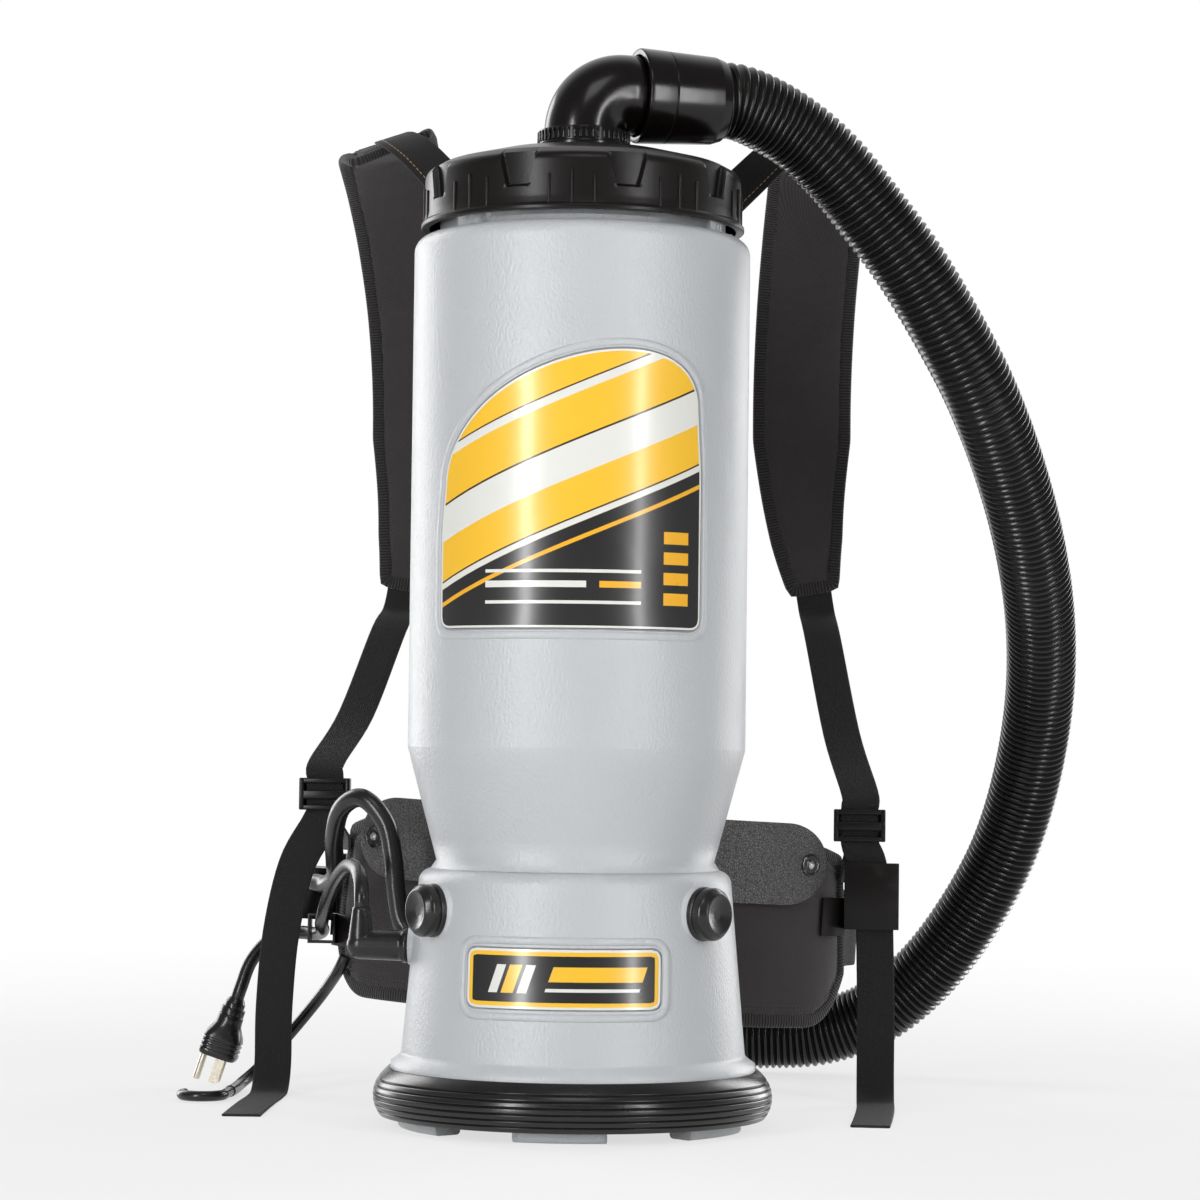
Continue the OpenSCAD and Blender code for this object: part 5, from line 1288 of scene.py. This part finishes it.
def shoulder_half(u):
    return shoulder_frame(int(round(u * shoulder_steps)))[2] / 2


def shoulder_pad(side, word):
    place, rings, rim = shoulder_place(side), [], []
    for i in range(1, shoulder_steps):
        _, _, wide, full = shoulder_frame(i)
        section = lens(wide - 3 * MM, max((4 + 9 * full) * MM - 3 * MM, 0.004), 32)
        rings.append([place(i / shoulder_steps, x, y) for x, y in section])
        rim += [place(i / shoulder_steps, s * (wide / 2 - 2 * MM)) for s in (-1, 1)]
    return cloth_pad("shoulder_pad_cloth_" + word, "shoulder_pad_" + word, rings, near_rim(rim, 0.005), 0.003)


SHOULDER_PADS = {side: shoulder_pad(side, word) for side, word in SIDES}

# %% [markdown]
# ## Bindings
# A strip of grosgrain tape is folded over each pad's edge. Its section is a flat oval that lies along the
# edge, and its own coordinates run along the tape so that the ribs cross it.


# %% Tape round the pads
def taped(name, path, inwards):
    """A flat oval swept round a closed path; inwards points from the edge to the pad's middle."""
    wide, thick, sides, rings = 9.5 * MM, 6.5 * MM, 14, []
    section = oval(wide / 2, thick / 2, circle(sides))
    for p, d, n in zip(path, unit(np.roll(path, -1, axis=0) - np.roll(path, 1, axis=0)), inwards):
        n = unit(n - d * (n @ d))
        rings.append([p + n * x + np.cross(d, n) * y for x, y in section])
    length = np.append(runs(path), runs(path)[-1] + np.linalg.norm(path[0] - path[-1]))
    obj = loft(name, rings, np.linspace(0, 2 * wide, sides + 1), length, loop=True)
    finish_piece(obj, "binding_tape", slot="pad_cloth", sharp=180)


def walk(place, half, inset, low, high, count):
    """Closed walk round a pad in its own coordinates, with directions towards its middle."""
    us = np.linspace(low, high, count)
    ends = np.linspace(-1, 1, max(6, count // 5))[1:-1]
    rows = [(u, -1) for u in us] + [(high, x) for x in ends]
    rows += [(u, 1) for u in us[::-1]] + [(low, -x) for x in ends]
    path = np.array([place(u, x * (half(u) - inset)) for u, x in rows])
    middle = [place(min(max(u, low + 0.06), high - 0.06), x * max(half(u) - 0.02, 0)) for u, x in rows]
    keep = even(np.vstack([path, path[:1]]), len(rows))[:-1]
    nearest = [np.argmin(np.linalg.norm(path - p, axis=1)) for p in keep]
    return keep, np.array(middle)[nearest] - keep


for side, word in SIDES:
    for kind, pad, place, half, low, high, count, off in (
        ("belt", BELT_PADS[side], belt_place(side), belt_half, 0.02, 0.985, 110, 9 * MM),
        ("shoulder", SHOULDER_PADS[side], shoulder_place(side), shoulder_half, 1 / 90, 89 / 90, 89, 8 * MM),
    ):
        taped(f"{kind}_binding_{word}", *walk(place, half, 1.5 * MM, low, high, count))
        for row, inset in enumerate((8.4, 11.2)):
            over = walk(lambda u, x: place(u, x, off), half, inset * MM, low + 0.03, high - 0.03, count)[0]
            line = laid_on(pad, np.vstack([over, over[:1]]))
            stitched(f"{kind}_stitches_{word}_{row}", line, "black_thread", "pad_cloth")

# %% [markdown]
# ## Webbing
# All straps are flat woven webbing. A thin section with rounded selvedges follows each strap's route, and
# its width keeps the direction it has at each point, so the strap may turn over as it climbs.


# %% Straps
def webbing(name, points, widths, node, width=25.4 * MM, steps=8, thick=1.8 * MM):
    """A strap along a smoothed route. It gives back its line, and the directions across and out of it."""
    p, d = smooth(points, steps), smooth(widths, steps)
    t = headings(p)
    n = unit(np.cross(t, d))
    x = unit(np.cross(n, t))
    half = [(-1, 0.35), (-0.965, 0.85), (-0.9, 1), (-0.45, 0.94), (0, 1), (0.45, 0.94), (0.9, 1),
            (0.965, 0.85), (1, 0.35)]
    section = [(a * width / 2, b * thick / 2) for a, b in half + [(a, -b) for a, b in reversed(half)]]
    rings = [[q + across * a + out * b for a, b in section] for q, across, out in zip(p, x, n)]
    obj = loft(name, rings, [a for a, _ in section + section[:1]], runs(p))
    finish_piece(obj, "webbing_cloth", node, sharp=60)
    return p, x, n


belt_start = np.array(hip(71.4, -7 * MM))
belt_up = worn(0, 0, wing_z + 1) - worn(0, 0, wing_z)
for side, word, end_x in ((-1, "left", 34), (1, "right", 12)):
    flat = mm((182, 5), (173, 47), (145, 85), (106, 103), (82, 107), (50, 107), (end_x, 107)) + (0, hip_y)
    route = [worn(side * x, y, belt_z) for x, y in (belt_start, belt_start + mm(4, 20), *flat)]
    webbing("belt_strap_" + word, route, [belt_up] * len(route), "belt_webbing_" + word, 50 * MM)

web_route = mm((50, -1.4, -38), (66, -1.8, -20), (84, 1, 1), (104, 7, 22), (122, 16, 40.5),
               (136, 30, 51.3), (143, 46, 55.4)) + (0, plate_y, shoulder_z)
web_sides = [*[(1, 0, -1)] * 3, (1, -0.1, -0.9), (1, -0.3, -0.7), (1, -0.3, -0.45), (1, -0.2, -0.35)]
for side, word in SIDES:
    flip = np.array([side, 1, 1])
    node = "shoulder_webbing_" + word
    p, x, n = webbing("shoulder_strap_" + word, web_route * flip, web_sides * flip, node)
    for row, over in enumerate((-1.05, 1.05)):
        line = p[2:-2] + x[2:-2] * 8.5 * MM + n[2:-2] * over * MM
        stitched(f"shoulder_thread_{word}_{row}", line, "tan_thread", "webbing", 3.6 * MM, 0.4 * MM)

# %% Side straps
tail_y, lock_h, floor_z = 184.3 * MM, 22 * MM, 0.9 * MM
pad_end, pad_out = pad_route[-1], unit(pad_route[-1] - pad_route[-2])
locks = {-1: mm(-186, 184.3, 205.5), 1: mm(181, 184.3, 188.5)}
drops = {-1: [(1, 0, 184), (16, 0, 156), (26, 0, 110), (30, 0, 60), (30, -2, 22), (30, -14, 4)],
         1: [(-2, 0, 162), (2, 0, 135), (3, 0, 110), (4, 0, 60), (4, -2, 22), (4, -14, 4)]}
for side, word in SIDES:
    flip, lock, far = np.array([side, 1, 1]), locks[side], drops[side][-1][0]
    a, away = pad_end * flip, pad_out * flip
    top = [a - 14 * MM * away, a + 12 * MM * away, 0.8 * a + 0.2 * lock, 0.38 * a + 0.62 * lock,
           lock + (0, 6 * MM, lock_h), lock + (0, 0, lock_h / 2), lock - (0, 0, lock_h / 2)]
    tail = [(far + x, y, floor_z / MM) for x, y in ((0, -34), (-1, -74), (-3, -124), (-5, -164))]
    fall = (mm(*drops[side], *tail) + (hip_a, tail_y, 0)) * flip
    route = [*top, *fall]
    widths = [(1, 0, 0)] * len(route)
    path = webbing("side_strap_woven_" + word, route, widths, "side_strap_" + word, steps=6)[0]
    print(word, "side strap", round(float(runs(path)[-1]), 3), "m")

# %% Sewn and clipped parts of the harness
for side, word in SIDES:
    for part, x, y, z in (
        ("outer_rail", (-17.6, -14.1), (-4, 4), (-11, 11)), ("inner_rail", (14.1, 17.6), (-4, 4), (-11, 11)),
        ("top_bar", (-15, 15), (-4, -1.5), (7.4, 11)), ("grip_bar", (-15, 15), (-4.4, -1.5), (-3.4, 2.6)),
        ("bottom_bar", (-15, 15), (-4, -1.5), (-11, -7.4)), ("back_bar", (-15, 15), (1.5, 4), (-11, 11)),
    ):
        corners = [locks[side] + mm(*c) for c in zip(x, y, z)]
        bar = softened(block(f"lock_{part}_{word}", *corners), 0.9 * MM)
        bake(bar)
        finish_piece(bar, "satin_black", "ladder_locks", sharp=40)
for node, finish, bevel in (
    ("lock_tabs", "pad_cloth", 0), ("strap_keepers", "satin_black", 0.4),
    ("buckle_female", "satin_black", 1.2), ("buckle_male", "satin_black", 1.2),
    ("switch_box", "satin_black", 1.2), ("switch_rocker", "red_rocker", 0.5),
):
    dressed(node, finish, bevel * MM, 3, sharp=40)

# %% [markdown]
# ## Cords
# The plug lead, the switch cord and the hook's tether are vinyl cords of fixed length. Each leaves its gland
# straight, bends gently and ends in its own fitting.

# %% Routes
box_entry = worn(-195.2 * MM, 231.3 * MM, 133 * MM)
switch_dir = np.array([math.cos(math.radians(145)), math.sin(math.radians(145)), 0])
boot_end = switch_dir * (skirt_r(112 * MM) + 24.4 * MM) + mm(0, 0, 112)
switch_route = [boot_end, boot_end + switch_dir * 8 * MM, *mm(
    (-120, 83, 123), (-124, 84, 143), (-126, 84, 164), (-132, 86, 188), (-148, 92, 204), (-164, 108, 197),
    (-172, 132, 178), (-175, 158, 160), (-178, 184, 149), (-187, 206, 143)),
    box_entry - mm(0, 12, 0), box_entry]
plug_axis, plug_tip = np.array([0.309, 0, 0.951]), mm(-270, 222, 3)
plug_top = plug_tip + plug_axis * 62 * MM
lead_route = [*mm(
    (-136, 0, 136), (-136, 0, 143), (-137.5, 7, 152), (-142, 22, 159), (-150, 46, 161), (-159, 76, 156),
    (-169, 110, 146), (-179, 146, 131), (-186.5, 180, 117), (-188.5, 200, 111), (-196, 217, 108),
    (-211, 230, 108), (-229, 232, 103), (-242, 227, 88)), plug_top + plug_axis * 8 * MM, plug_top]
hook_top = mm(-243, 150, 4.1)
tether_start = [worn(*hip(-angle, off * MM), z * MM) for angle, off, z in ((59, 3.9, 86), (61, 5, 76))]
tether_route = [*tether_start, *mm(
    (-186, 199, 70), (-200, 210, 53), (-217, 214, 33), (-233, 208, 15), (-242, 192, 6)),
    hook_top + mm(0, 20, 0), hook_top]


# %% Plug
def plug_ring(z, wide, deep, power):
    """One ring of the plug: an ellipse where power is 1, and squarer below that."""
    return np.column_stack([oval(wide, deep, circle(48), power, power), np.full(48, z)]) * MM


def plug_body():
    """A moulded grip with three grooves, then a neck with a ring round it."""
    groove = ((0, 0), (0.4, 0.2), (0.7, 0.9), (1.7, 0.9), (2, 0.2), (2.4, 0))
    neck = ((50, 8.2), (50.3, 8.5), (54.6, 8.5), (55, 8.2), (55.2, 7.1), (58.8, 7), (59.2, 6.7), (62, 5.4))
    rings = [
        (19, 11.6, 10.1, 0.45), (19.3, 12.5, 11, 0.45), (20.5, 13.2, 11.7, 0.45), (22, 13.5, 12, 0.45),
        *((z + up, 13.5 - deep, 12 - deep, 0.45) for z in (23.4, 26.6, 29.8) for up, deep in groove),
        (33, 13.4, 12, 0.5), (36, 12.7, 11.4, 0.62), (39.5, 11, 10.2, 0.78), (43, 9.3, 9.1, 0.95),
        (46, 9, 9, 1), (49.2, 8.9, 8.9, 1), *((z, r, r, 1) for z, r in neck)]
    return loft("plug_moulding", [plug_ring(*ring) for ring in rings])


def plug_blade(name, side):
    """A flat blade with a hole near its tip."""
    corners = mm((0, 1.5), (6.4, 1.5), (6.4, 20.5), (0, 20.5))
    hole, low, high = mm(3.2, 5.4), (side * 6.35 - 0.75) * MM, (side * 6.35 + 0.75) * MM
    edge = widest([rounded_corners(corners, 1.2 * MM)], hole, 96)
    rim = hole + unit(edge - hole) * 1.6 * MM
    sections = ((edge, low), (edge, high), (rim, high), (rim, low))
    rings = [np.column_stack([flat[:, 0], np.full(len(flat), y), flat[:, 1]]) for flat, y in sections]
    return loft(name, rings, caps=False, loop=True)


pin_r, pin_long, pin_off = 2.4, 20, 9.5 * MM
pin_profile = fillet([(0, 0), (pin_r, 0), (pin_r, pin_long), (0, pin_long)], [0, 1.9, 0, 0], 6) * MM
plug_pieces = [
    plug_body(),
    plug_blade("plug_blade_near", -1),
    plug_blade("plug_blade_far", 1),
    turned("plug_round_pin", pin_profile, 32, Matrix.Translation((-pin_off, 0, 0))),
]
for piece, finish in zip(plug_pieces, ("cord_jacket", *["nickel_pins"] * 3)):
    piece.data.transform(Matrix.Translation(plug_tip) @ Matrix.Rotation(math.radians(18), 4, "Y"))
    finish_piece(piece, finish, "power_plug", sharp=40)

# %% Cords
dressed("cord_hook", "cord_jacket", name="hook_rod", sharp=40)
dressed("switch_gland", "cord_jacket", name="switch_boot", sharp=40)
plug_names = [piece.name for piece in plug_pieces]
for name, node, route, thick, far_end, lay, others in (
    ("switch_cord_jacket", "switch_cord", switch_route, 12.6, "object", "loose", ()),
    ("lead_jacket", "power_lead", lead_route, 9.4, "plug", "hanging", plug_names),
    ("tether_jacket", "hook_tether", tether_route, 8, "tool", "loose", ("hook_rod",)),
):
    line = even(smooth(route, 10), 140)
    cord = finish_piece(tube(name, line, thick / 2 * MM), "cord_jacket", node, sharp=80)
    length = float(runs(line)[-1])
    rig.cord(cord, exit=line[0], length=length, diameter=thick * MM, far_end=far_end, stiffness="medium",
            lay=lay, path=line, with_pieces=others)
    print(name, round(length, 3), "m")
dressed("lead_strain_relief", "cord_jacket", sharp=40)

# %% [markdown]
# ## What the shell hides
# The filters and the motor sit inside. Their CAD solids stay as they are, each with its own finish.

# %% Inner pieces
for finish, nodes in (
    ("filter_paper", ("filter_bag", "exhaust_filter")), ("card_board", ("bag_ring",)),
    ("open_foam", ("dome_filter",)), ("cast_alloy", ("impeller",)), ("nickel_pins", ("brush_holders",)),
    ("copper_wire", ("field_coils", "armature")), ("satin_black", ("motor_plate", "brush_bracket")),
    ("soft_rubber", ("motor_gasket", "cap_seal")),
    ("zinc_steel", ("fan_housing", "field_stack", "bearings", "motor_shaft", "base_screws")),
):
    for node in nodes:
        solid = frame["nodes"][node]
        solid.data.materials.clear()
        solid.data.materials.append(FINISHES[finish])

# %% [markdown]
# ## Room and lamps
# The cleaner stands on a pale floor before a white wall, in a room that is dim on the near side. Two narrow
# upright lamps in front draw the long highlights down the tank, two broad ones behind edge it with light,
# and a small one overhead fills the shadows.


# %% Floor
def seen_by(graph):
    """1 for the rays that show the background: the camera's own, and those off gloss or through glass."""
    kinds = ("Camera", "Glossy", "Transmission")
    rays = [graph.node("ShaderNodeLightPath", out=f"Is {kind} Ray") for kind in kinds]
    return graph.math("MAXIMUM", graph.math("MAXIMUM", rays[0], rays[1]), rays[2])


floor = add_mesh("floor", [(-12, -8, 0), (12, -8, 0), (12, 14, 0), (-12, 14, 0)], [(0, 1, 2, 3)])
paint = Finish("pale_floor", Roughness=0.9)
paint.vary(Base_Color=paint.mix(grey(0.8), grey(0.83), paint.noise(3, 3)))
east, north, _ = paint.split(paint.place)
whitest_from, near_share = 2.2, 0.68
far_off = paint.smooth_step((east * east + north * north) ** 0.5, 0.5, whitest_from)
glow = paint.node("ShaderNodeEmission", None, {"Color": grey(1.0), "Strength": 1.0})
share = seen_by(paint) * (near_share + 0.32 * far_off)
plain = Wire(paint, paint.surface.outputs[0])
blend = paint.node("ShaderNodeMixShader", None, {0: share, 1: plain, 2: glow})
paint.feed(paint.tree.nodes["Material Output"].inputs, "Surface", blend)
floor.data.materials.append(paint.material)
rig.stage(floor)

# %% World
world = bpy.data.worlds.new("studio")
world.use_nodes = True
bpy.context.scene.world = world
sky = Graph(world.node_tree)
wall = sky.smooth_step(sky.split(sky.node("ShaderNodeTexCoord", out="Generated"))[1], 0.0, 0.6)
camera_ray = sky.node("ShaderNodeLightPath", out="Is Camera Ray")
background = world.node_tree.nodes["Background"].inputs
sky.feed(background, "Color", (1, 1, 1))
room_light = 0.24
shown = sky.math("MAXIMUM", camera_ray, seen_by(sky) * wall)
sky.feed(background, "Strength", room_light + 0.76 * shown)


# %% Lamps
aim = Vector((0, 0, 0.35))


def lamp(name, angle, distance, height, width, tall, power):
    """An upright panel at that angle from the front, turned to the tank's axis."""
    data = bpy.data.lights.new(name, "AREA")
    data.shape, data.size, data.size_y, data.energy = "RECTANGLE", width, tall, power
    obj, a = linked(name, data), math.radians(angle)
    obj.location = place = Vector((distance * math.sin(a), -distance * math.cos(a), height))
    obj.rotation_euler = (aim - place).to_track_quat("-Z", "Y").to_euler()


lamp("left_strip", -31, 2.1, 0.62, 0.24, 1.24, 23)
lamp("right_strip", 44, 2.1, 0.62, 0.2, 1.24, 15)
lamp("left_edge", -132, 2.2, 0.8, 0.8, 1.8, 21)
lamp("right_edge", 140, 2.2, 0.8, 0.8, 1.8, 24)
lamp("overhead", 5, 1.5, 2.0, 0.8, 0.8, 6)

# %% [markdown]
# ## Finish
# The last step writes both boxes, for comparing the dressed part with its solids.

# %% Write both boxes
boxes = {"cad": cad_box, "visual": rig.bounds()}
with open("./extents.json", "w") as report:
    json.dump({name: [list(map(float, p)) for p in box] for name, box in boxes.items()}, report)
print("visual box", boxes["visual"])
